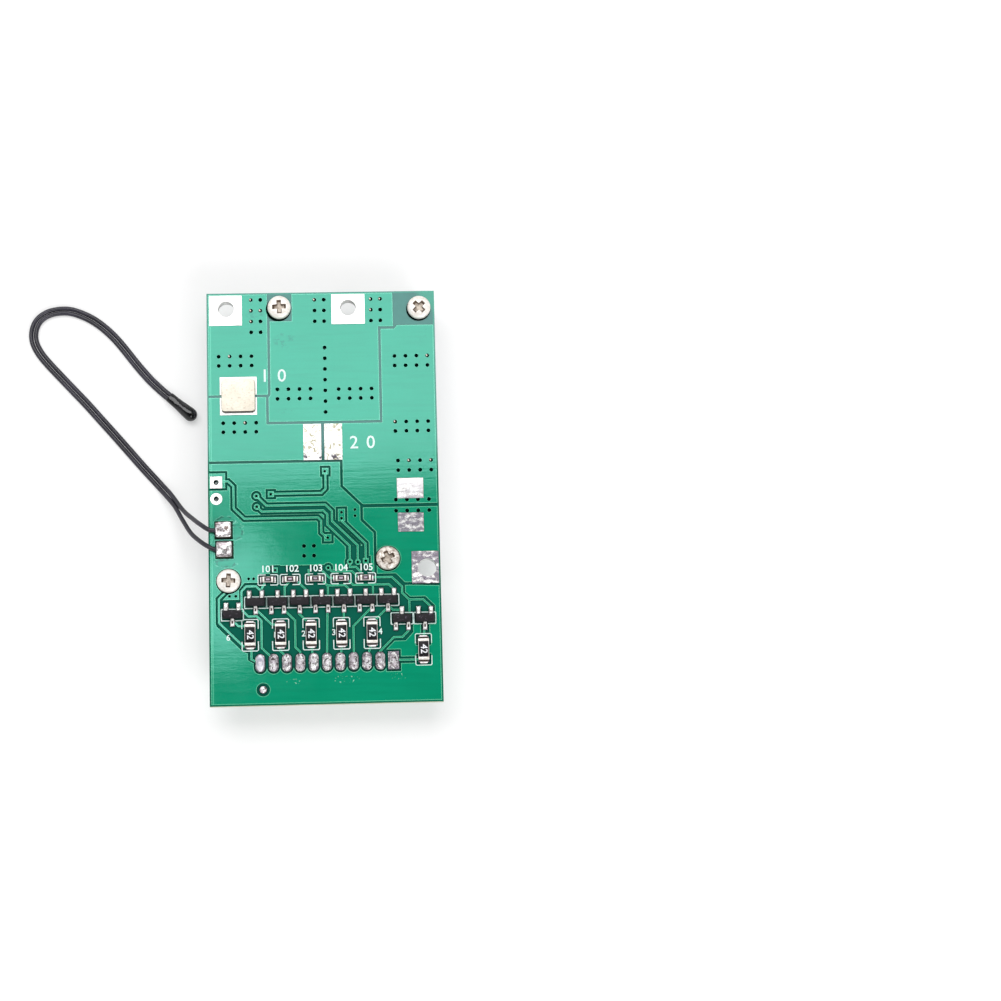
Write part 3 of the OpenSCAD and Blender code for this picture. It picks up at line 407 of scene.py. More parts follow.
def extruded_aluminium():
    """Drawn plate: fine lines along its length, duller in the grooves."""
    f = Finish("extruded_aluminium", metallic=1.0)
    lines = f.noise(1.0, 4, 0.7, at=f.place(stretch=(9.0, 0.12, 9.0)))
    colour = f.shades(lines, 0.35, 0.68, rgb(205, 207, 210), rgb(168, 170, 174))
    colour = f.blend(f.between(f.noise(0.16, 3), 0.45, 0.75) * 0.4, colour, rgb(146, 148, 153))
    return f.paint(base_color=colour, roughness=0.34 + lines * 0.2, normal=f.bump(lines, 0.03, 0.6, 0.12))


def moulded_plastic(name, light, dark, roughness):
    """Thermoplastic with a fine spark-eroded grain."""
    f = Finish(name, specular_level=0.45, subsurface_weight=0.05, subsurface_radius=(0.001, 0.0008, 0.0006))
    grain = f.noise(9.0, 3, 0.6)
    return f.paint(base_color=f.shades(f.noise(0.25, 2), 0.3, 0.7, light, dark),
                   roughness=roughness + grain * 0.15, normal=f.bump(grain, 0.02, 0.5, 0.12))


def silicone():
    """Soft heat-conducting sheet: dusty blue with a printed dimple pattern."""
    f = Finish("silicone_sheet", specular_level=0.3)
    dimples = f.node("ShaderNodeTexVoronoi", {"feature": "F1"}, {"Vector": f.place(), "Scale": 1.6})
    dust = f.noise(2.5, 4, 0.6)
    return f.paint(base_color=f.shades(dust, 0.35, 0.7, rgb(134, 172, 204), rgb(110, 150, 186)),
                   roughness=0.75 + dust * 0.15, normal=f.bump(dimples, 0.05, 0.6))


def clouded(name, first, second, clouds, rough, relief=None, limits=(0.35, 0.7), **constants):
    """Finish whose colour, gloss and relief follow one noise of [scale, detail, roughness]."""
    f = Finish(name, **constants)
    noise = f.noise(*clouds)
    f.paint(base_color=f.shades(noise, *limits, first, second), roughness=rough[0] + noise * rough[1])
    if relief:
        f.paint(normal=f.bump(noise, *relief))
    return f


def plated(name, light, dark, roughness, scale, depth, metal):
    """Plated metal with a faint cloudy sheen."""
    return clouded(name, light, dark, (scale, 3, 0.6), (roughness, 0.18), (depth, 0.5), metallic=metal)


def ceramic(name, light, dark):
    return clouded(name, light, dark, (7.0, 3, 0.6), (0.5, 0.2), (0.02, 0.5), specular_level=0.45)


def print_ink(name, fresh, worn):
    """Pale print, thin in places."""
    return clouded(name, fresh, worn, (5.0, 3, 0.6), (0.5, 0.2), limits=(0.5, 0.8), specular_level=0.4)


FINISHES = {
    "mask": solder_mask(),
    "core": board_core(),
    "shade_in_holes": black_hole_shade(),
    "tin": levelled_tin(),
    "joint": joint_solder(),
    "wire_joint": wire_joint_solder(),
    "smooth_joint": clouded("smooth_joint_solder", rgb(236, 233, 242), rgb(196, 192, 208), (0.7, 2),
                            (0.3, 0.1), (0.05, 0.5), metallic=0.3),
    "link": link_tin(),
    "lead": plated("tinned_lead", rgb(254, 253, 252), rgb(196, 188, 182), 0.2, 2.2, 0.05, 0.3),
    "cap": plated("end_cap_tin", rgb(254, 252, 248), rgb(222, 214, 204), 0.24, 3.0, 0.04, 0.3),
    "solder": plated("pale_solder", rgb(255, 254, 254), rgb(222, 216, 216), 0.3, 2.6, 0.08, 0.1),
    "pin": plated("pin_tin", rgb(226, 222, 228), rgb(190, 184, 192), 0.3, 4.0, 0.02, 0.4),
    "screw": plated("screw_nickel", rgb(250, 247, 242), rgb(232, 226, 216), 0.34, 2.0, 0.03, 0.25),
    "scratched": plated("scratched_nickel", rgb(244, 238, 230), rgb(160, 144, 130), 0.34, 2.4, 0.12, 0.3),
    "recess": plated("screw_recess_wall_shade", rgb(128, 110, 94), rgb(84, 68, 56), 0.4, 3.0, 0.05, 0.3),
    "recess_floor": plated("screw_recess_floor_shade", rgb(204, 192, 178), rgb(150, 136, 122), 0.35, 2.6, 0.08,
                           0.3),
    "aluminium": extruded_aluminium(),
    "transistor": moulding("transistor_moulding", rgb(17, 13, 19), 0.5, 0.45),
    "package": moulding("package_moulding", rgb(34, 34, 37)),
    "brown_glaze": moulding("brown_glaze", rgb(52, 40, 42), 0.3),
    "flux_and_shade_brown": moulding("flux_and_shade_brown", rgb(58, 46, 40), 0.35),
    "glaze": clouded("resistor_glaze", rgb(9, 8, 11), rgb(26, 23, 28), (6.0, 3, 0.6), (0.36, 0.2),
                     (0.015, 0.5), (0.4, 0.75), specular_level=0.25),
    "glaze_highlight": ceramic("glaze_highlight", rgb(196, 184, 200), rgb(150, 136, 150)),
    "alumina": ceramic("alumina", rgb(236, 233, 230), rgb(214, 208, 204)),
    "capacitor": ceramic("capacitor_ceramic", rgb(172, 138, 98), rgb(150, 118, 82)),
    "ivory": moulded_plastic("ivory_plastic", rgb(238, 232, 216), rgb(226, 219, 200), 0.42),
    "nylon": moulded_plastic("nylon", rgb(232, 229, 218), rgb(220, 216, 202), 0.38),
    "silicone": silicone(),
    "insulation": clouded("wire_insulation", rgb(26, 24, 36), rgb(42, 39, 54), (0.22, 2), (0.34, 0.1),
                          (0.05, 0.4), (0.4, 0.7), specular_level=0.6),
    "bead": clouded("bead_resin", rgb(9, 9, 11), rgb(24, 22, 27), (0.8, 3), (0.1, 0.1),
                    (0.1, 0.6), (0.4, 0.7), specular_level=0.6),
    "print": print_ink("outline_print", rgb(224, 244, 240), rgb(160, 212, 200)),
    "bright_print": print_ink("figure_print", rgb(226, 244, 240), rgb(180, 220, 210)),
    "marking": print_ink("code_marking", rgb(232, 234, 238), rgb(196, 198, 204)),
}


# ---- Modelling helpers ----

def alone(piece=None):
    """Only this piece is selected and active."""
    if bpy.context.object and bpy.context.object.mode != "OBJECT":
        bpy.ops.object.mode_set(mode="OBJECT")
    bpy.ops.object.select_all(action="DESELECT")
    if piece:
        piece.select_set(True)
        bpy.context.view_layer.objects.active = piece


def settle(piece):
    """Moves the piece's place, turn and size into its mesh."""
    alone(piece)
    bpy.ops.object.transform_apply(location=True, rotation=True, scale=True)
    return piece


@contextmanager
def shaping(piece, kind="FACE"):
    """Edit mode on one piece, with nothing selected at first."""
    alone(piece)
    bpy.ops.object.mode_set(mode="EDIT")
    bpy.ops.mesh.select_mode(type=kind)
    bpy.ops.mesh.select_all(action="DESELECT")
    yield
    bpy.ops.object.mode_set(mode="OBJECT")


def pick(piece, test, kind="FACE"):
    """Selects just the faces, edges or points that pass the test on their middle and normal."""
    bpy.ops.mesh.select_mode(type=kind)
    bpy.ops.mesh.select_all(action="DESELECT")
    shape = bmesh.from_edit_mesh(piece.data)
    if kind == "FACE":
        for face in shape.faces:
            face.select_set(test(face.calc_center_median() / MM, face.normal))
    elif kind == "EDGE":
        for edge in shape.edges:
            a, b = (v.co / MM for v in edge.verts)
            edge.select_set(test((a + b) / 2, b - a))
    else:
        for vert in shape.verts:
            vert.select_set(test(vert.co / MM, vert.normal))
    shape.select_flush_mode()
    bmesh.update_edit_mesh(piece.data)


def pick_all():
    bpy.ops.mesh.select_all(action="SELECT")


def pick_top(piece):
    pick(piece, lambda p, n: n.z > 0.9)


def pick_bottom(piece):
    pick(piece, lambda p, n: n.z < -0.9)


def pull(z):
    """Extrudes the selection upwards by millimetres."""
    bpy.ops.mesh.extrude_region_move(TRANSFORM_OT_translate={"value": (0, 0, z * MM)})


def move_up(z):
    bpy.ops.transform.translate(value=(0, 0, z * MM))


def sized(x=1.0, y=1.0, z=1.0):
    """Resizes the selection about its own middle."""
    bpy.ops.transform.resize(value=(x, y, z))


def stretched(x=1.0, y=1.0, z=1.0):
    """Resizes the selection about the origin."""
    bpy.ops.transform.resize(value=(x, y, z), center_override=(0, 0, 0))


def rounded_selection(width, segments):
    bpy.ops.mesh.bevel(offset=width * MM, segments=segments, affect="EDGES")


def applied(piece, kind, **settings):
    """Adds a modifier and applies it."""
    alone(piece)
    modifier = piece.modifiers.new("shaper", kind)
    for key, value in settings.items():
        setattr(modifier, key, value)
    bpy.ops.object.modifier_apply(modifier=modifier.name)


def finish_edges(piece, width, segments=2, angle=35):
    """Rounds the edges that are sharper than the angle by a width in millimetres."""
    applied(piece, "BEVEL", width=width * MM, segments=segments, limit_method="ANGLE",
            angle_limit=radians(angle))
    bpy.ops.object.shade_smooth_by_angle(angle=radians(40))
    return piece


def smoothed(piece):
    """Subdivision that gives a poured or lumpy shape."""
    applied(piece, "SUBSURF", levels=1, render_levels=1)
    bpy.ops.object.shade_smooth()
    return piece


def carved(piece, cutter):
    """Takes the cutter's shape out of the piece."""
    applied(piece, "BOOLEAN", object=cutter, operation="DIFFERENCE", solver="EXACT")
    scrapped(cutter)


def slab(name, lo, hi):
    """Block between two corners in millimetres."""
    alone()
    lo, hi = Vector(lo), Vector(hi)
    bpy.ops.mesh.primitive_cube_add(size=1, location=(lo + hi) / 2 * MM)
    piece = bpy.context.object
    piece.name = name
    piece.scale = (hi - lo) * MM
    return settle(piece)


def put_in_order(piece):
    """Sorts edges and faces by their points, because extruding a round face leaves them in any order."""
    shape = bmesh.new()
    shape.from_mesh(piece.data)

    def rank(element):
        first, second, *others = sorted(vert.index for vert in element.verts)
        return (first * 10000 + second) * 10000 + (others[0] if others else 0)

    shape.edges.sort(key=rank)
    shape.faces.sort(key=rank)
    shape.to_mesh(piece.data)
    shape.free()


def turned(name, rings, sides=32):
    """Round form about the Z axis through rings of [height, radius]."""
    alone()
    z, r = rings[0]
    bpy.ops.mesh.primitive_circle_add(vertices=sides, radius=r * MM, fill_type="NGON",
                                      location=(0, 0, z * MM))
    piece = settle(bpy.context.object)
    piece.name = name
    with shaping(piece):
        pick_all()
        for height, radius in rings[1:]:
            pull(height - z)
            sized(radius / r, radius / r)
            z, r = height, radius
        pick_all()
        bpy.ops.mesh.normals_make_consistent(inside=False)
    put_in_order(piece)
    bpy.ops.object.shade_smooth_by_angle(angle=radians(40))
    return piece


def copied(piece, name, place=(0, 0, 0), turn=0.0, flip=False, size=(1, 1, 1)):
    """Copy with its own mesh at a place in millimetres, turned about Z, upside down for the underside."""
    twin = piece.copy()
    twin.data = piece.data.copy()
    bpy.context.scene.collection.objects.link(twin)
    twin.name = name
    spin = Euler((0, 0, turn)).to_matrix().to_4x4()
    if flip:
        spin = spin @ Euler((pi, 0, 0)).to_matrix().to_4x4()
    twin.matrix_world = Matrix.Translation(Vector(place) * MM) @ spin @ Matrix.Diagonal((*size, 1))
    return settle(twin)


def joined(name, pieces):
    alone(pieces[0])
    for piece in pieces:
        piece.select_set(True)
    bpy.ops.object.join()
    pieces[0].name = name
    return pieces[0]


def scrapped(*pieces):
    for piece in pieces:
        bpy.data.objects.remove(piece)


def coated(piece, *finishes):
    """Gives a piece these finishes in place of its own."""
    piece.data.materials.clear()
    for finish in finishes:
        piece.data.materials.append(FINISHES[finish].material)
    return piece


def marked(piece, number, test):
    """Gives the faces that pass the test the piece's finish of this number."""
    with shaping(piece):
        pick(piece, test)
        piece.active_material_index = number
        bpy.ops.object.material_slot_assign()


def dressed(piece, finish, node=None):
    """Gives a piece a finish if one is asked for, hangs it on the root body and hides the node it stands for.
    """
    if finish:
        coated(piece, finish)
    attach(piece, "root")
    if node:
        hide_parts(node)
    return piece


# ---- Thermistor lead ----

WIRE_D = 0.7
LEAD_PITCH = 0.74
LEAD_Z = WIRE_D / 2 + 0.02
BEAD_D = 2.1
BEAD_L = 3.9
BEAD_RISE = (BEAD_D - WIRE_D) / 2
TAIL_Z = PAD_TOP + 0.9 / 2
LEAD_MIDDLE = [
    (-24, 1.6, 1), (-25.6, 3.5, 0), (-27.8, 6, 0), (-30, 8.6, 0), (-32.2, 11.2, 0), (-34.4, 13.75, 0),
    (-36.6, 16.3, 0), (-38.8, 18.7, 0), (-40.9, 21, 0), (-42.6, 22.9, 0), (-43.9, 24.6, 0), (-44.7, 26.3, 0),
    (-44.8, 28, 0), (-44.2, 29.6, 0), (-42.9, 30.7, 0), (-41.2, 31.2, 0), (-39.3, 31.2, 0), (-37.4, 30.6, 0),
    (-35.5, 29.6, 0), (-33.7, 28.2, 0), (-32.2, 26.7, 0), (-30.8, 25, 0), (-28.9, 22.5, 0), (-26.9, 20.1, 0),
    (-25.2, 18.4, 0), (-23.9, 17.2, BEAD_RISE / 2), (-22.7, 16.15, BEAD_RISE)]
WIRE_TAILS = [
    [(-16.4, -5.2, 0), (-17.3, -5.1, 0), (-18.6, -4.2, -0.7), (-20, -2.9, -2.6), (-21.6, -1.2, -4.9)],
    [(-16.3, -8.2, 0), (-17.2, -7.8, 0), (-18.5, -6.9, -0.7), (-20.2, -5.2, -2.6), (-21.7, -2.7, -4.6),
     (-22.9, -0.5, -5.9)]]


def beside(line, distance):
    """Points at a distance to the left of a line in the plan, on its mitres."""
    ways = [(b - a).normalized() for a, b in zip(line, line[1:])]
    found = []
    for i, point in enumerate(line):
        before, after = ways[max(i - 1, 0)], ways[min(i, len(ways) - 1)]
        across = (Vector((-before.y, before.x)) + Vector((-after.y, after.x))).normalized()
        found.append(point + across * distance / across.dot(Vector((-before.y, before.x))))
    return found


def wire_points(n):
    side = beside([Vector(p[:2]) for p in LEAD_MIDDLE], -LEAD_PITCH / 2 if n == 1 else LEAD_PITCH / 2)
    tail = [Vector((x, y, TAIL_Z + z)) for x, y, z in WIRE_TAILS[n - 1]]
    return tail + [Vector((s.x, s.y, LEAD_Z + p[2])) for s, p in zip(side, LEAD_MIDDLE)]


def wire(name, points):
    """One insulated wire from its joint to the bead, as a smooth open curve."""
    line = bpy.data.curves.new(name, "CURVE")
    line.dimensions = "3D"
    line.bevel_depth = WIRE_D / 2 * MM
    line.bevel_resolution = 4
    line.resolution_u = 8
    line.use_fill_caps = True
    spline = line.splines.new("BEZIER")
    spline.bezier_points.add(len(points) - 1)
    for i, knot in enumerate(spline.bezier_points):
        before, here, after = points[max(i - 1, 0)], points[i], points[min(i + 1, len(points) - 1)]
        way = (after - before).normalized()
        if here.z < LEAD_Z + 0.01:
            way.z = 0
        knot.co = here * MM
        knot.handle_left = (here - way * (here - before).length / 3) * MM
        knot.handle_right = (here + way * (after - here).length / 3) * MM
    piece = bpy.data.objects.new(name, line)
    bpy.context.scene.collection.objects.link(piece)
    return piece


def thermistor():
    """Twin lead and its dipped bead."""
    end, before = Vector(LEAD_MIDDLE[-1]), Vector(LEAD_MIDDLE[-2])
    r = BEAD_D / 2
    straight = BEAD_L - r
    # Resin runs back over the two wires, then swells to a ball: [along, half width, half height]
    neck = [(-1.5, 0.745, 0.37), (-1.4, 0.78, 0.41), (-0.7, 0.8, 0.44), (0, 0.82, 0.52), (0.7, 0.87, 0.66),
            (1.3, 0.93, 0.8), (1.9, 0.99, 0.93), (2.4, 1.04, 1.02)]
    ball = [[straight + r * sin(radians(a)), r * cos(radians(a))] for a in (0, 12, 24, 36, 48, 60, 72, 83)]
    bead = turned("thermistor_drop", [[z, wide] for z, wide, _ in neck] + ball)
    with shaping(bead):
        for z, wide, tall in neck:
            pick(bead, lambda p, n: abs(p.z - z) < 0.02, "VERT")
            stretched(x=tall / wide)
    bead.rotation_euler = (0, pi / 2, 0)
    settle(bead)
    bead.rotation_euler = (0, 0, atan2(end.y - before.y, end.x - before.x))
    bead.location = Vector((end.x, end.y, LEAD_Z + end.z)) * MM
    settle(bead)
    bpy.ops.object.shade_smooth()
    dressed(bead, "bead", "thermistor_bead")
    for n in (1, 2):
        points = wire_points(n)
        piece = wire(f"lead_wire_{n}", points)
        dressed(piece, "insulation", f"thermistor_wire_{n}")


# ---- Small packages ----

def moulded_body(name, length, width, height, draft, edge=0.06):
    """Package body about the origin with a parting line half way up and drafted faces."""
    body = slab(name, (-length / 2, -width / 2, height * 0.08), (length / 2, width / 2, height / 2))
    drafted = (1 - 2 * draft / length, 1 - 2 * draft / width)
    with shaping(body):
        pick_bottom(body)
        sized(*drafted)
        pick_top(body)
        bpy.ops.mesh.inset(thickness=0.015 * MM)
        pull(height / 2)
        sized(*drafted)
    return finish_edges(body, edge)


def gull_lead(wall, tip, height, thick, width, flare=1.0):
    """Flat lead from a body wall at +Y, down to a foot."""
    alone()
    bpy.ops.mesh.primitive_plane_add(size=1, location=(0, wall * MM, height * MM))
    lead = bpy.context.object
    lead.name = "lead_pattern"
    lead.scale = (width * MM, 0.1 * MM, 1)
    settle(lead)
    reach, drop = tip - wall, height - thick / 2
    with shaping(lead):
        pick(lead, lambda p, n: p.y > wall, "EDGE")
        for out, down in ((0.16 * reach, 0), (0.13 * reach, 0.18), (0.13 * reach, 0.64),
                          (0.16 * reach, 0.18), (0.42 * reach - 0.05, 0)):
            bpy.ops.mesh.extrude_edges_move(
                TRANSFORM_OT_translate={"value": Vector((0, out, -down * drop)) * MM})
        sized(x=flare)
    applied(lead, "SOLIDIFY", thickness=thick * MM, offset=0)
    with shaping(lead):
        pick_all()
        bpy.ops.mesh.normals_make_consistent(inside=False)
    return finish_edges(lead, thick * 0.25, 2, 50)


def foot_solder(length, width, height):
    """Low mound of solder on a pad, about the origin, drawn out along Y."""
    mound = slab("mound_pattern", (-width / 2, -length / 2, 0), (width / 2, length / 2, height))
    with shaping(mound):
        pick_top(mound)
        sized(0.62, 0.72)
        pick_all()
        bpy.ops.mesh.subdivide(number_cuts=2, smoothness=0)
    smoothed(mound)
    with shaping(mound):
        # Solder spreads and sinks towards the outer end of the pad
        pick(mound, lambda p, n: p.y > 0.1, "VERT")
        stretched(1.08, 1.0, 0.75)
    return mound


def small_transistors():
    body = moulded_body("body_pattern", 2.9, 1.3, 1.0, 0.09)
    lead = coated(gull_lead(0.62, 1.25, 0.48, 0.14, 0.4, 1.05), "lead")
    mound = coated(foot_solder(0.95, 0.6, 0.24), "lead")
    # Flux stays brown in the middle of the joints on the header's side
    stained = coated(copied(mound, "stained_pattern"), "solder", "flux_and_shade_brown")
    marked(stained, 1, lambda p, n: abs(p.x) < 0.13 and -0.3 < p.y < 0.1 and p.z > 0.08)
    for n in range(1, 11):
        node = f"transistor_{n}"
        seat, far_side = foot(node), box(node)[1].y
        # The pair of leads is on the far side or the near one, as the node's own points show
        points = [v.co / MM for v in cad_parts[node].data.vertices]
        pair_far = max(p.x - seat.x for p in points if p.y > far_side - 0.05) > 0.6
        turn = 0.0 if pair_far else pi
        dressed(copied(body, f"{node}_body", seat, turn), "transistor", node)
        legs = []
        for x, about in ((-0.95, turn), (0.95, turn), (0, turn + pi)):
            place = seat + Vector((x * cos(turn), x * sin(turn), 0))
            out = Vector((-sin(about), cos(about), 0))
            legs.append(copied(lead, "leg", place, about))
            legs.append(copied(stained if out.y < 0 else mound, "leg", place + out * 1.26, about))
        dressed(joined(f"{node}_leads", legs), None, node)
    scrapped(body, lead, mound, stained)


def chip_parts(length, width, height, cap, glaze=True):
    """Chip resistor or capacitor along X: ceramic core, two wrapped caps, and the glaze if it has one."""
    half, side = length / 2, width / 2
    core = slab("core_pattern", (0.03 - half, -side, 0.03), (half - 0.03, side, height - 0.03))
    parts = {"core": finish_edges(core, 0.03)}
    caps = []
    for a, b in ((-half, cap - half), (half - cap, half)):
        end = slab("cap", (a, -side - 0.02, 0), (b, side + 0.02, height))
        caps.append(finish_edges(end, 0.06, 3))
    parts["ends"] = joined("ends_pattern", caps)
    if glaze:
        cover = slab("glaze_pattern", (cap * 0.8 - half, 0.06 - side, height - 0.06),
                     (half - cap * 0.8, side - 0.06, height + 0.012))
        parts["glaze"] = finish_edges(cover, 0.04)
    return parts


CHIP_LOOKS = {"core": ("alumina", "ceramic"), "ends": ("cap", "tin"), "glaze": ("glaze", "black_glaze")}


def chip(node, parts, place, turn=0.0, flip=False):
    """Stands a chip's parts in the place of its node."""
    for ending, pattern in parts.items():
        finish, slot = CHIP_LOOKS[ending]
        if pattern.data.materials:
            finish = None
        dressed(copied(pattern, f"{node}_{ending}", place, turn, flip), finish, node)


def wedge_solder(width, reach, height):
    """Fillet from a chip's end at X = 0 out to the end of its pad, with painted dark shade in the crease at
    the cap.
    """
    fillet = slab("fillet_pattern", (-0.08, -width / 2, 0), (reach, width / 2, height))
    with shaping(fillet):
        pick_all()
        bpy.ops.mesh.subdivide(number_cuts=3, smoothness=0)
        # Hollow slope: high at the cap, thin at the pad's end, drawn in at the corners
        height_left = 1.0
        for quarter, (keep, narrow) in enumerate(((0.62, 0.97), (0.34, 0.93), (0.16, 0.84)), 1):
            start = reach * quarter / 4 - 0.12 * reach
            pick(fillet, lambda p, n: p.x > start, "VERT")
            stretched(1, narrow, keep / height_left)
            height_left = keep
    smoothed(fillet)
    # Painted shade: the half of the fillet next to the cap is dark brown, for the crease
    coated(fillet, "solder", "flux_and_shade_brown")
    marked(fillet, 1, lambda p, n: p.x < 0.5 * reach)
    return fillet


def end_fillets(node, fillet, place, away):
    """Copies of the fillet at both ends of a chip, away from its middle along X or Y."""
    turn = atan2(away.y, away.x)
    ends = [copied(fillet, "fillet", place - away, turn - pi), copied(fillet, "fillet", place + away, turn)]
    dressed(joined(f"{node}_solder", ends), None, node)


def figures(name, text, height, depth, place, finish, turn=0.0):
    """Plain figures as flat raised print, centred on a place."""
    alone()
    bpy.ops.object.text_add(location=(0, 0, 0))
    words = bpy.context.object
    words.data.body = text
    words.data.align_x = words.data.align_y = "CENTER"
    words.data.size = height / 0.72 * MM
    words.data.extrude = depth / 2 * MM
    words.data.offset = 0.02 * MM
    words.data.resolution_u = 3
    bpy.ops.object.convert(target="MESH")
    words.name = name
    words.rotation_euler = (0, 0, turn)
    words.location = Vector(place) * MM
    dressed(settle(words), finish)


def balance_resistors():
    length, height = 3.2, 0.55
    parts = chip_parts(length, 1.6, height, 0.5)
    fillet = wedge_solder(1.5, 0.52, 0.4)
    for n in range(1, 7):
        node = f"balance_resistor_{n}"
        seat = foot(node)
        chip(node, parts, seat, pi / 2)
        end_fillets(node, fillet, seat, Vector((0, length / 2, 0)))
        figures(f"{node}_code", "42", 1.02, 0.03, seat + Vector((0.02, 0, height + 0.02)), "marking", -pi / 2)
    scrapped(*parts.values(), fillet)


def gate_resistors():
    length, height = 1.6, 0.45
    parts = chip_parts(length, 0.8, height, 0.3)
    fillet = wedge_solder(0.78, 0.36, 0.34)
    # The glaze is crowned, and its top face is painted pale as a highlight
    with shaping(parts["glaze"]):
        pick_top(parts["glaze"])
        sized(0.5, 0.45)
    coated(parts["glaze"], "brown_glaze", "glaze_highlight")
    marked(parts["glaze"], 1, lambda p, n: n.z > 0.95 and p.z > height)
    for n in range(1, 6):
        node = f"gate_resistor_{n}"
        chip(node, parts, foot(node))
        end_fillets(node, fillet, foot(node), Vector((length / 2, 0, 0)))
    scrapped(*parts.values(), fillet)


# ---- Solder ----

def header_joints():
    """Eleven pins with their solder cones on oval pads."""
    lo, hi = box("header_pins")
    seat = box("header_solder")[0].z
    middle = (lo.y + hi.y) / 2
    half_pin, chamfer, count = 0.25, 0.16, 11
    pitch = (hi.x - lo.x - 2 * half_pin) / (count - 1)
    cone = turned("cone_pattern", [[0, 0.64], [0.1, 0.63], [0.17, 0.56], [0.24, 0.47], [0.36, 0.4],
                                   [0.5, 0.35], [0.62, 0.31]], 28)
    with shaping(cone):
        # The foot is drawn out over the oval pad, the neck stays round
        for low, stretch in ((-0.01, 2.05), (0.2, 0.86), (0.3, 0.86), (0.45, 0.88)):
            pick(cone, lambda p, n: p.z > low, "VERT")
            stretched(y=stretch)
    smoothed(cone)
    pin = slab("pin_pattern", (-half_pin, -half_pin, 0), (half_pin, half_pin, hi.z - lo.z - chamfer))
    with shaping(pin):
        pick_top(pin)
        pull(chamfer)
        sized(0.45, 0.45)
        pick_bottom(pin)
        pull(-0.001)
        move_up(0.25)
    finish_edges(pin, 0.03)
    cones, pins = [], []
    for i in range(count):
        x = lo.x + half_pin + i * pitch
        lump = copied(cone, "cone", (x, middle, seat), pi * (i % 2))
        with shaping(lump, "VERT"):
            pick_all()
            bpy.ops.transform.vertex_random(offset=0.035 * MM, uniform=0.0, normal=1.0, seed=11 + i)
        cones.append(lump)
        pins.append(copied(pin, "pin", (x, middle, lo.z)))
    cones[0].name = "header_first_joint"
    dressed(cones[0], "smooth_joint", "header_solder")
    dressed(joined("header_pin_joints", cones[1:]), "joint", "header_solder")
    dressed(joined("header_pin_row", pins), "pin", "header_pins")
    scrapped(cone, pin)


def wire_joints():
    """Two hand-soldered joints of the thermistor wires."""
    lo, hi = box("thermistor_solder")
    half, height = 1.288, hi.z - lo.z
    joints = []
    for x, y, lumps, seed, ridged in ((-15.2, -5.1, 0.16, 5, False), (-15.1, -8.1, 0.07, 8, True)):
        joint = slab("joint", (-half, -half, 0), (half, half, height * 1.06))
        with shaping(joint):
            pick_top(joint)
            sized(0.9, 0.9)
            pick_all()
            bpy.ops.mesh.subdivide(number_cuts=4, smoothness=0)
            pick(joint, lambda p, n: p.z > 0.15 and max(abs(p.x), abs(p.y)) < 1.1, "VERT")
            bpy.ops.transform.vertex_random(offset=lumps * MM, uniform=0.2, normal=0.6, seed=seed)
            if ridged:
                # Ridges that cross from corner to corner
                pick(joint, lambda p, n: p.z > 0.2 and abs(abs(p.x) - abs(p.y)) > 0.24, "VERT")
                move_up(-0.16)
        smoothed(joint)
        joint.location = Vector((x, y, lo.z)) * MM
        joints.append(settle(joint))
    # Painted shade: the steep sides of the joints are dark brown, for their shadow and the dark board they
    # mirror
    joints = coated(joined("wire_joints", joints), "wire_joint", "flux_and_shade_brown")
    marked(joints, 1, lambda p, n: n.z < 0.3)
    dressed(joints, None, "thermistor_solder")


def link_pool():
    """Square pool of solder that bridges the link pads."""
    lo, hi = box("link_solder")
    pool = slab("link_pool", lo, (hi.x, hi.y, hi.z - 0.02))
    with shaping(pool):
        pick(pool, lambda p, way: abs(way.z) > 0.1 and abs(way.x) < 0.01, "EDGE")
        rounded_selection(0.5, 5)
        pick_top(pool)
        sized(0.985, 0.985)
        rounded_selection(0.06, 3)
    alone(pool)
    bpy.ops.object.shade_smooth_by_angle(angle=radians(50))
    # Painted shadow: its near side is dark brown
    coated(pool, "link", "flux_and_shade_brown")
    marked(pool, 1, lambda p, n: n.z < 0.5 and n.y < -0.5)
    dressed(pool, None, "link_solder")


# ---- Screws ----

# Place in the plan, turn, and the size of the painted shadow ring under the head and how far it is shifted
# aside and below it
SCREWS = ((-6.35, 29.3, 0.05, 1.0, -0.17, -0.16), (15.1, 29.0, radians(45), 0.98, -0.08, -0.12),
          (9.55, -9.9, radians(24), 0.975, -0.03, -0.06), (-14.5, -12.9, -0.06, 0.965, 0.0, -0.04))
SCRATCHED_SCREW = 2


def screw_pattern(rise, length):
    """Pan-head screw with a cross recess and a threaded shank, its seat at the origin."""
    head = turned("head_pattern", [[0, 1.62], [0.06, 1.74], [0.55, 1.79], [0.8, 1.76], [0.98, 1.6],
                                   [1.11, 1.3], [1.2, 0.9], [rise - 0.01, 0.4]], 48)
    for turn in (0, pi / 2):
        arm = slab("arm", (-1.3, -0.4, rise - 0.62), (1.3, 0.4, rise + 0.3))
        with shaping(arm):
            pick_bottom(arm)
            sized(0.6, 0.68)
        arm.rotation_euler = (0, 0, turn)
        carved(head, settle(arm))
    finish_edges(head, 0.035, 2, 40)
    # Painted shade in the cross recess: dark brown walls and a grey floor, darker than the head
    coated(head, "screw", "recess", "recess_floor")
    marked(head, 1, lambda p, n: p.xy.length_squared < 1.7 and 0.3 < p.z < 1.1 and n.z < 0.8)
    marked(head, 2, lambda p, n: p.xy.length_squared < 1.7 and 0.3 < p.z < 0.8 and n.z > 0.8)
    core, crest = 0.86, 0.98
    rings = [[-length, 0.55], [-length + 0.3, core]]
    z = -length + 0.4
    while z < -0.2:
        rings += [[z, core], [z + 0.1, crest], [z + 0.2, crest], [z + 0.3, core]]
        z += 0.4
    shank = coated(turned("shank", rings + [[0.02, core]], 24), "screw")
    return joined("screw_pattern", [head, shank])


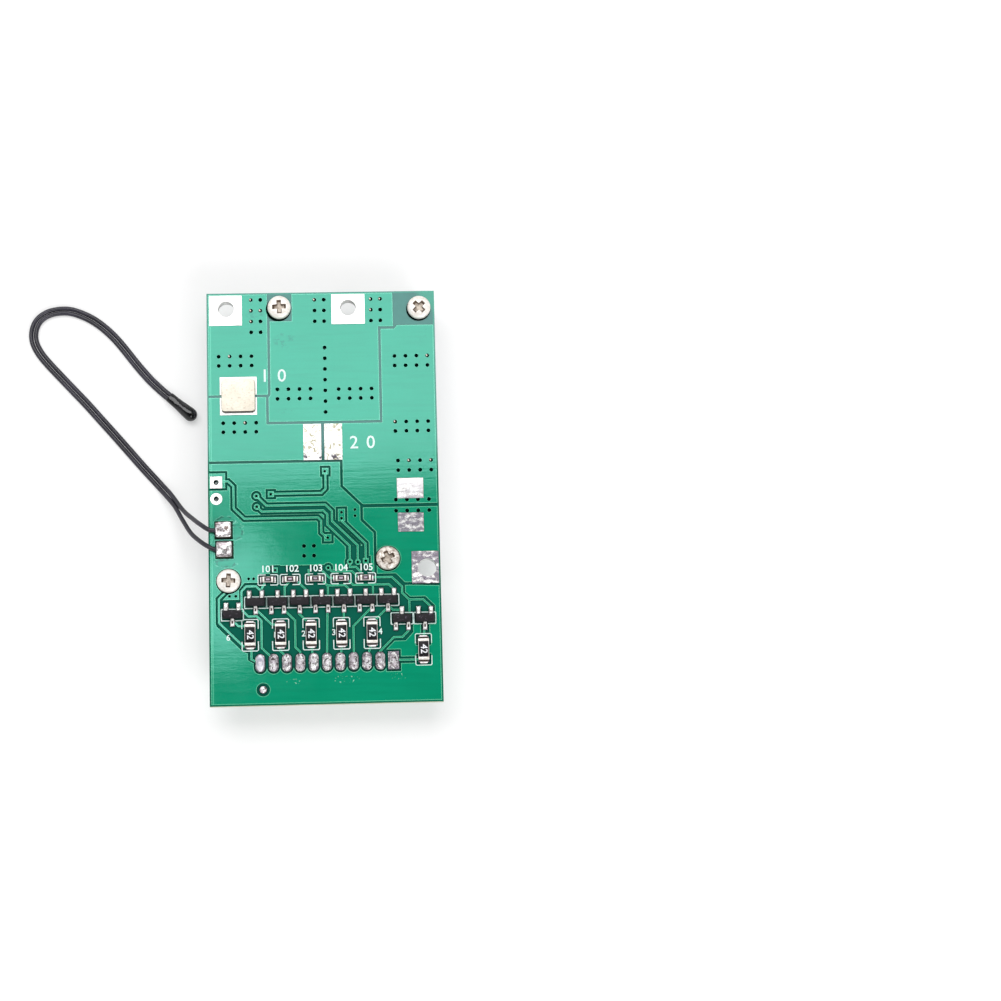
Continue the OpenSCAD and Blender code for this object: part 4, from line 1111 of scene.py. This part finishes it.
def screws():
    lo, hi = box("heatsink_screws")
    pattern = screw_pattern(hi.z - BOARD_TOP, BOARD_TOP - lo.z)
    # Painted shadow: a dark ring under each head, shifted aside and below, for its shadow and the dark gap
    # beneath it
    rim = turned("shadow_ring_pattern", [[-0.05, 1.9], [0.01, 1.9], [0.012, 1.7]], 48)
    whole, shadow_rings = [], []
    for x, y, turn, size, aside, below in SCREWS:
        whole.append(copied(pattern, "screw", (x, y, BOARD_TOP), turn))
        shadow_rings.append(copied(rim, "rim", (x + aside, y + below, MASK_TOP), size=(size, size, 1)))
    whole[SCRATCHED_SCREW].data.materials[0] = FINISHES["scratched"].material
    dressed(joined("screws", whole), None, "heatsink_screws")
    dressed(joined("screw_shadow_rings", shadow_rings), "shade_in_holes")
    scrapped(rim, pattern)


# ---- Underside ----

def underside_package(node, body, metal, metal_ending, place, turn):
    """A package's body and leads, hanging from the underside."""
    for pattern, ending, finish, slot in ((body, "body", "package", "black_moulding"),
                                          (metal, metal_ending, "lead", "tin")):
        dressed(copied(pattern, f"{node}_{ending}", place, turn, flip=True), finish, node)


def power_transistors():
    """Eight flat power packages in two rows that face each other."""
    length, width, height, tab_out = 6.1, 6.6, 2.3, 1.1
    wall = length / 2
    body = moulded_body("body_pattern", width, length, height, 0.2, 0.12)
    tab = slab("tab", (-2.65, -wall - tab_out, 0), (2.65, -wall + 0.3, 0.5))
    with shaping(tab):
        pick(tab, lambda p, way: abs(way.z) > 0.1 and abs(way.x) < 0.01 and p.y < -wall - 0.5, "EDGE")
        rounded_selection(0.6, 1)
    lead = gull_lead(wall - 0.02, wall + 2.8, height / 2, 0.5, 0.8)
    stub = slab("stub", (-0.4, wall - 0.05, height / 2 - 0.25), (0.4, wall + 0.55, height / 2 + 0.25))
    metal = joined("metal_pattern", [finish_edges(tab, 0.06), copied(lead, "leg", (-2.29, 0, 0)),
                                     copied(lead, "leg", (2.29, 0, 0)), finish_edges(stub, 0.05)])
    for n in range(1, 9):
        node = f"mosfet_{n}"
        lo, hi = box(node)
        # The node reaches from the tab's end to the lead tips. Upside down, a package's own +Y points to -Y,
        # so it is turned once more
        if n <= 4:
            middle, turn = lo.y + tab_out + wall, pi
        else:
            middle, turn = hi.y - tab_out - wall, 2 * pi
        underside_package(node, body, metal, "metal", (foot(node).x, middle, UNDERSIDE), turn)
    scrapped(body, metal, lead)


def protection_circuits():
    """Two flat packages with twenty leads each."""
    length, width, height, pitch = 6.5, 4.4, 1.1, 0.65
    body = moulded_body("body_pattern", length, width, height, 0.12)
    dimple = turned("dimple", [[0, 0.35], [0.2, 0.35]], 24)
    dimple.location = Vector((-length / 2 + 0.8, -width / 2 + 0.8, height - 0.08)) * MM
    carved(body, settle(dimple))
    lead = gull_lead(width / 2 - 0.02, 3.2, height / 2, 0.13, 0.24)
    metal = joined("metal_pattern", [copied(lead, "leg", ((i - 4.5) * pitch, 0, 0), turn)
                                     for i in range(10) for turn in (0, pi)])
    for n in (1, 2):
        node = f"protection_ic_{n}"
        place = (*foot(node).xy, UNDERSIDE)
        underside_package(node, body, metal, "leads", place, pi)
    scrapped(body, metal, lead)


def underside_chips():
    """Current shunts and the filter rows."""
    parts = chip_parts(6.4, 3.2, 0.7, 1.2)
    for n in (1, 2):
        node = f"shunt_resistor_{n}"
        chip(node, parts, (*foot(node).xy, UNDERSIDE), pi / 2, True)
    scrapped(*parts.values())
    pitch = 2.5
    for node, height, cap, finish in (("filter_resistors", 0.45, 0.3, "alumina"),
                                      ("filter_capacitors", 0.8, 0.35, "capacitor")):
        x, y, _ = foot(node)
        for ending, pattern in chip_parts(1.6, 0.8, height, cap, node == "filter_resistors").items():
            look, slot = CHIP_LOOKS[ending]
            row = [copied(pattern, "chip", (x + (i - 4.5) * pitch, y, UNDERSIDE), pi / 2, True)
                   for i in range(10)]
            dressed(joined(f"{node}_{'cores' if ending == 'core' else ending}", row),
                    finish if ending == "core" else look, node)
            scrapped(pattern)


# ---- Print, vias and placing mark ----

PRINT_WIDTH = 0.18
INK_DEPTH = 0.14
INK_MIDDLE = MASK_TOP + 0.03 - INK_DEPTH / 2
GATE_CHIP_XS = (-8.6, -5.27, -1.45, 2.4, 6.12)
# Plain figures: text, place in the plan and height
FIGURES = (("101", -8.6, -11.2, 1.05), ("102", -5.0, -11.2, 1.05), ("103", -1.4, -11.2, 1.05),
           ("104", 2.4, -11.2, 1.05), ("105", 6.2, -11.2, 1.05), ("1", -8.7, 18.6, 2.0),
           ("0", -6.1, 18.6, 2.0), ("2", 4.75, 8.0, 2.0), ("0", 7.3, 8.0, 2.0), ("6", -14.65, -21.5, 0.9),
           ("1", -7.7, -21.2, 0.9), ("2", -3.35, -21.1, 0.9), ("3", 1.2, -21.0, 0.9), ("4", 8.2, -21.0, 0.9))


def bracket(x, y, long, short, gap, upright):
    """Two U-shaped strokes round a chip, open over the gap in the middle of its long sides."""
    corner = 0.15
    along = (gap, long - corner, long, long, long - corner, gap)
    across = (short, short, short - corner, corner - short, -short, -short)
    return [[(x + b, y + side * a) if upright else (x + side * a, y + b) for a, b in zip(along, across)]
            for side in (-1, 1)]


def package_outline(x, y, pair_far):
    """Outline of a small transistor that stops at its leads."""
    half, top, low = 1.65, y + 0.88, y - 0.84
    strokes = [[(x - half, low), (x - half, top)], [(x + half, low), (x + half, top)]]
    for level, pair in ((top, pair_far), (low, not pair_far)):
        runs = ((-half, -1.36), (-0.52, 0.52), (1.36, half)) if pair else ((-half, -0.42), (0.42, half))
        strokes += [[(x + a, level), (x + b, level)] for a, b in runs]
    return strokes


def outline_print(strokes):
    """Flat print lines through lists of plan points, in one piece."""
    line = bpy.data.curves.new("outline_print", "CURVE")
    line.dimensions = "3D"
    line.bevel_depth = PRINT_WIDTH / 2 * MM
    line.bevel_resolution = 1
    line.use_fill_caps = True
    for points in strokes:
        spline = line.splines.new("POLY")
        spline.points.add(len(points) - 1)
        for knot, (x, y) in zip(spline.points, points):
            knot.co = (x * MM, y * MM, 0, 1)
    piece = bpy.data.objects.new("outline_print", line)
    bpy.context.scene.collection.objects.link(piece)
    alone(piece)
    bpy.ops.object.convert(target="MESH")
    piece.scale = (1, 1, INK_DEPTH / PRINT_WIDTH)
    piece.location = (0, 0, INK_MIDDLE * MM)
    dressed(settle(piece), "print")


def board_print():
    strokes = []
    for i in range(7):
        strokes += package_outline(-10.5 + 3.32 * i, -16.25, i % 2 == 0)
    for x, y, pair_far in ((-14, -18.05, True), (11.5, -19.1, False), (14.95, -19.1, True)):
        strokes += package_outline(x, y, pair_far)
    for x in GATE_CHIP_XS:
        strokes += bracket(x, -12.82, 1.5, 0.78, 0.35, False)
    for x, y in [(-11.37 + 4.58 * i, -21.15) for i in range(5)] + [(14.65, -23.85)]:
        strokes += bracket(x, y, 2.38, 1.22, 0.95, True)
    outline_print(strokes)
    for i, (text, x, y, tall) in enumerate(FIGURES):
        figures(f"print_{i}", text, tall, INK_DEPTH, (x, y, INK_MIDDLE), "bright_print")


# Via fields: left column, lowest row, pitch across and along, columns, rows
VIA_GRIDS = [
    (-10.7, 25.55, 1.45, 1.7, 2, 4), (-0.95, 27.15, 1.45, 1.7, 2, 3), (7.7, 27.15, 1.45, 1.7, 2, 3),
    (-15.7, 20.35, 1.67, 1.45, 4, 2), (11.2, 20, 1.68, 1.5, 4, 2), (0.5, 12.9, 1, 1.68, 1, 7),
    (-6.8, 15.05, 1.68, 1.5, 4, 2), (2.55, 15, 1.68, 1.45, 4, 2), (-15.1, 10, 1.67, 1.4, 4, 2),
    (11.1, 9.75, 1.68, 1.45, 4, 2), (11.4, 3.65, 1.68, 1.5, 4, 2), (10.95, -0.9, 1.68, 1, 4, 1),
    (10.95, -2.6, 1.68, 1, 4, 1), (-3.1, -9.25, 1.5, 1.5, 2, 2)]
SMALL_VIAS = [
    (4.7, -2.3), (4.7, -3.25), (2.65, -2.7), (2.65, -3.6), (-11.5, -12.6), (-10.75, -12.6), (-14.4, -15.2),
    (-13.45, -15.2), (0.5, -6.55), (0.2, 3.7), (-8, 0.3), (-10.2, 0.05), (-10.15, -1.6), (3.8, -10.3),
    (5, -10.35), (6.2, -10.2), (-7.5, -11.35), (0.5, -11.15)]
# Field, column and row of the vias that show a crescent of tin
BRIGHT_VIAS = {(0, 0, 3), (0, 0, 2), (0, 0, 1), (0, 1, 2), (3, 1, 1), (2, 0, 2), (2, 1, 2), (2, 0, 1),
               (4, 3, 1), (8, 2, 1), (9, 0, 1), (10, 1, 1), (10, 3, 1), (1, 0, 2)}


def via_fillings():
    """Near-black plugs of painted shade in the vias, and a crescent of bare tin in some of them."""
    plug = turned("via_pattern", [[-0.5, 0.25], [0.001, 0.252], [0.0015, 0.31], [0.014, 0.3], [0.012, 0.24],
                                  [-0.1, 0.15], [-0.13, 0.05]], 14)
    crescent = turned("crescent_pattern", [[-0.3, 0.11], [-0.02, 0.115], [0.01, 0.1], [0.03, 0.04]], 12)
    plugs = [copied(plug, "plug", (x, y, MASK_TOP), size=(0.7, 0.7, 1)) for x, y in SMALL_VIAS]
    crescents = []
    for field, (left, low, across, along, columns, rows) in enumerate(VIA_GRIDS):
        for column in range(columns):
            for row in range(rows):
                place = Vector((left + column * across, low + row * along, MASK_TOP))
                plugs.append(copied(plug, "plug", place))
                if (field, column, row) in BRIGHT_VIAS:
                    corner = place + Vector((-0.11, 0.05, 0))
                    crescents.append(copied(crescent, "crescent", corner, 0.4, size=(1, 1.5, 1)))
    dressed(joined("via_shade_plugs", plugs), "shade_in_holes")
    dressed(joined("via_tin", crescents), "link")
    scrapped(plug, crescent)


def placing_mark():
    """Round mark for the placing machine: a low dome of solder on its dot."""
    dome = turned("placing_mark", [[0, 0.54], [0.05, 0.52], [0.12, 0.43], [0.17, 0.28], [0.19, 0.12]])
    dome.location = Vector((-9.5, -29.4, PAD_TOP)) * MM
    dressed(smoothed(settle(dome)), "joint")


# ---- Camera, lamps and floor ----

def set_camera():
    """Camera nearly straight above the board, leaning a little towards the header's end."""
    right = Vector((0.99818, -0.02803, 0.0534))
    up = Vector((0.01895, 0.98636, 0.16348))
    back = Vector((-0.05725, -0.16217, 0.9851))
    lens = bpy.data.cameras.new("camera")
    lens.lens = 86.03
    lens.sensor_width = 36
    lens.clip_start = 0.01
    lens.clip_end = 50
    camera = bpy.data.objects.new("camera", lens)
    bpy.context.scene.collection.objects.link(camera)
    turn = Matrix((right, up, back)).transposed().to_4x4()
    camera.matrix_world = Matrix.Translation(Vector((5.996, -60.534, 367.66)) * MM) @ turn
    bpy.context.scene.camera = camera


def soft_lamp(name, shape, place, size, watts, turn):
    """Flat lamp of a size in metres. It shines straight down before it is turned."""
    data = bpy.data.lights.new(name, "AREA")
    data.shape = shape
    data.size, data.size_y = size
    data.energy = watts
    lamp = bpy.data.objects.new(name, data)
    bpy.context.scene.collection.objects.link(lamp)
    lamp.location = place
    lamp.rotation_euler = turn


def pale_floor():
    alone()
    bpy.ops.mesh.primitive_plane_add(size=6, location=(0, 0, 0))
    floor = bpy.context.object
    floor.name = "floor"
    paper = Finish("pale_floor", roughness=0.9, specular_level=0.1)
    paper.paint(base_color=paper.blend(paper.noise(0.02, 2), rgb(246, 246, 247), rgb(250, 250, 250)))
    # Seen straight on it is part backdrop, so that its shadows stay pale
    glow = paper.node("ShaderNodeEmission", {}, {"Color": (1, 1, 1, 1), "Strength": 1.0})
    share = paper.node("ShaderNodeLightPath", out="Is Camera Ray") * 0.4
    paper.show(paper.node("ShaderNodeMixShader", {}, {0: share, 1: paper.own_shader(), 2: glow}))
    floor.data.materials.append(paper.material)


def bright_room():
    """Mirrored rays see a dark ceiling and a white wall, other rays an even pale room."""
    world = bpy.data.worlds.new("room")
    bpy.context.scene.world = world
    room = Nodes(world, "ShaderNodeOutputWorld")
    height = room.axis(room.node("ShaderNodeTexCoord", out="Generated"), "Z")
    level = room.node("ShaderNodeMapRange", {}, {0: height, 1: 0.3, 2: 0.85, 3: 1.0, 4: 0.02})
    for ray, even in (("Is Diffuse Ray", 0.46), ("Is Camera Ray", 1.0)):
        is_ray = room.node("ShaderNodeLightPath", out=ray)
        level = room.node("ShaderNodeMix", {"data_type": "FLOAT"}, {0: is_ray, 2: level, 3: even})
    room.show(room.node("ShaderNodeBackground", {}, {"Color": (1, 1, 1, 1), "Strength": level}))


def studio():
    """Pale floor in a bright room, a broad lamp beyond the far end and a weak one before the near end."""
    pale_floor()
    bright_room()
    # The key's lower edge mirrors in the board's mask, straight across the middle, the glint by the joints
    soft_lamp("key", "RECTANGLE", (-0.17, 0.448, 0.9), (0.9, 0.6), 7.0, (0, 0, radians(3.7)))
    soft_lamp("glint", "ELLIPSE", (-0.0654, 0.0979, 0.9), (0.0766, 0.0452), 0.035, (0, 0, radians(75)))
    fill = Vector((0.35, -0.6, 0.6))
    soft_lamp("fill", "RECTANGLE", fill, (0.6, 0.4), 3.6, (-fill).to_track_quat("-Z", "Y").to_euler())
    bpy.context.scene.view_settings.view_transform = "Standard"


# ---- Model ----

def build():
    for node, finish in (("circuit_board", "core"), ("top_copper", "mask"), ("bottom_copper", "mask"),
                         ("tinned_pads", "tin"), ("screw_spacers", "nylon"), ("heatsink", "aluminium"),
                         ("thermal_pad", "silicone"), ("header_housing", "ivory")):
        coated(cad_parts[node], finish)
    thermistor()
    small_transistors()
    balance_resistors()
    gate_resistors()
    header_joints()
    wire_joints()
    link_pool()
    screws()
    power_transistors()
    protection_circuits()
    underside_chips()
    board_print()
    via_fillings()
    placing_mark()


set_camera()
studio()
build()
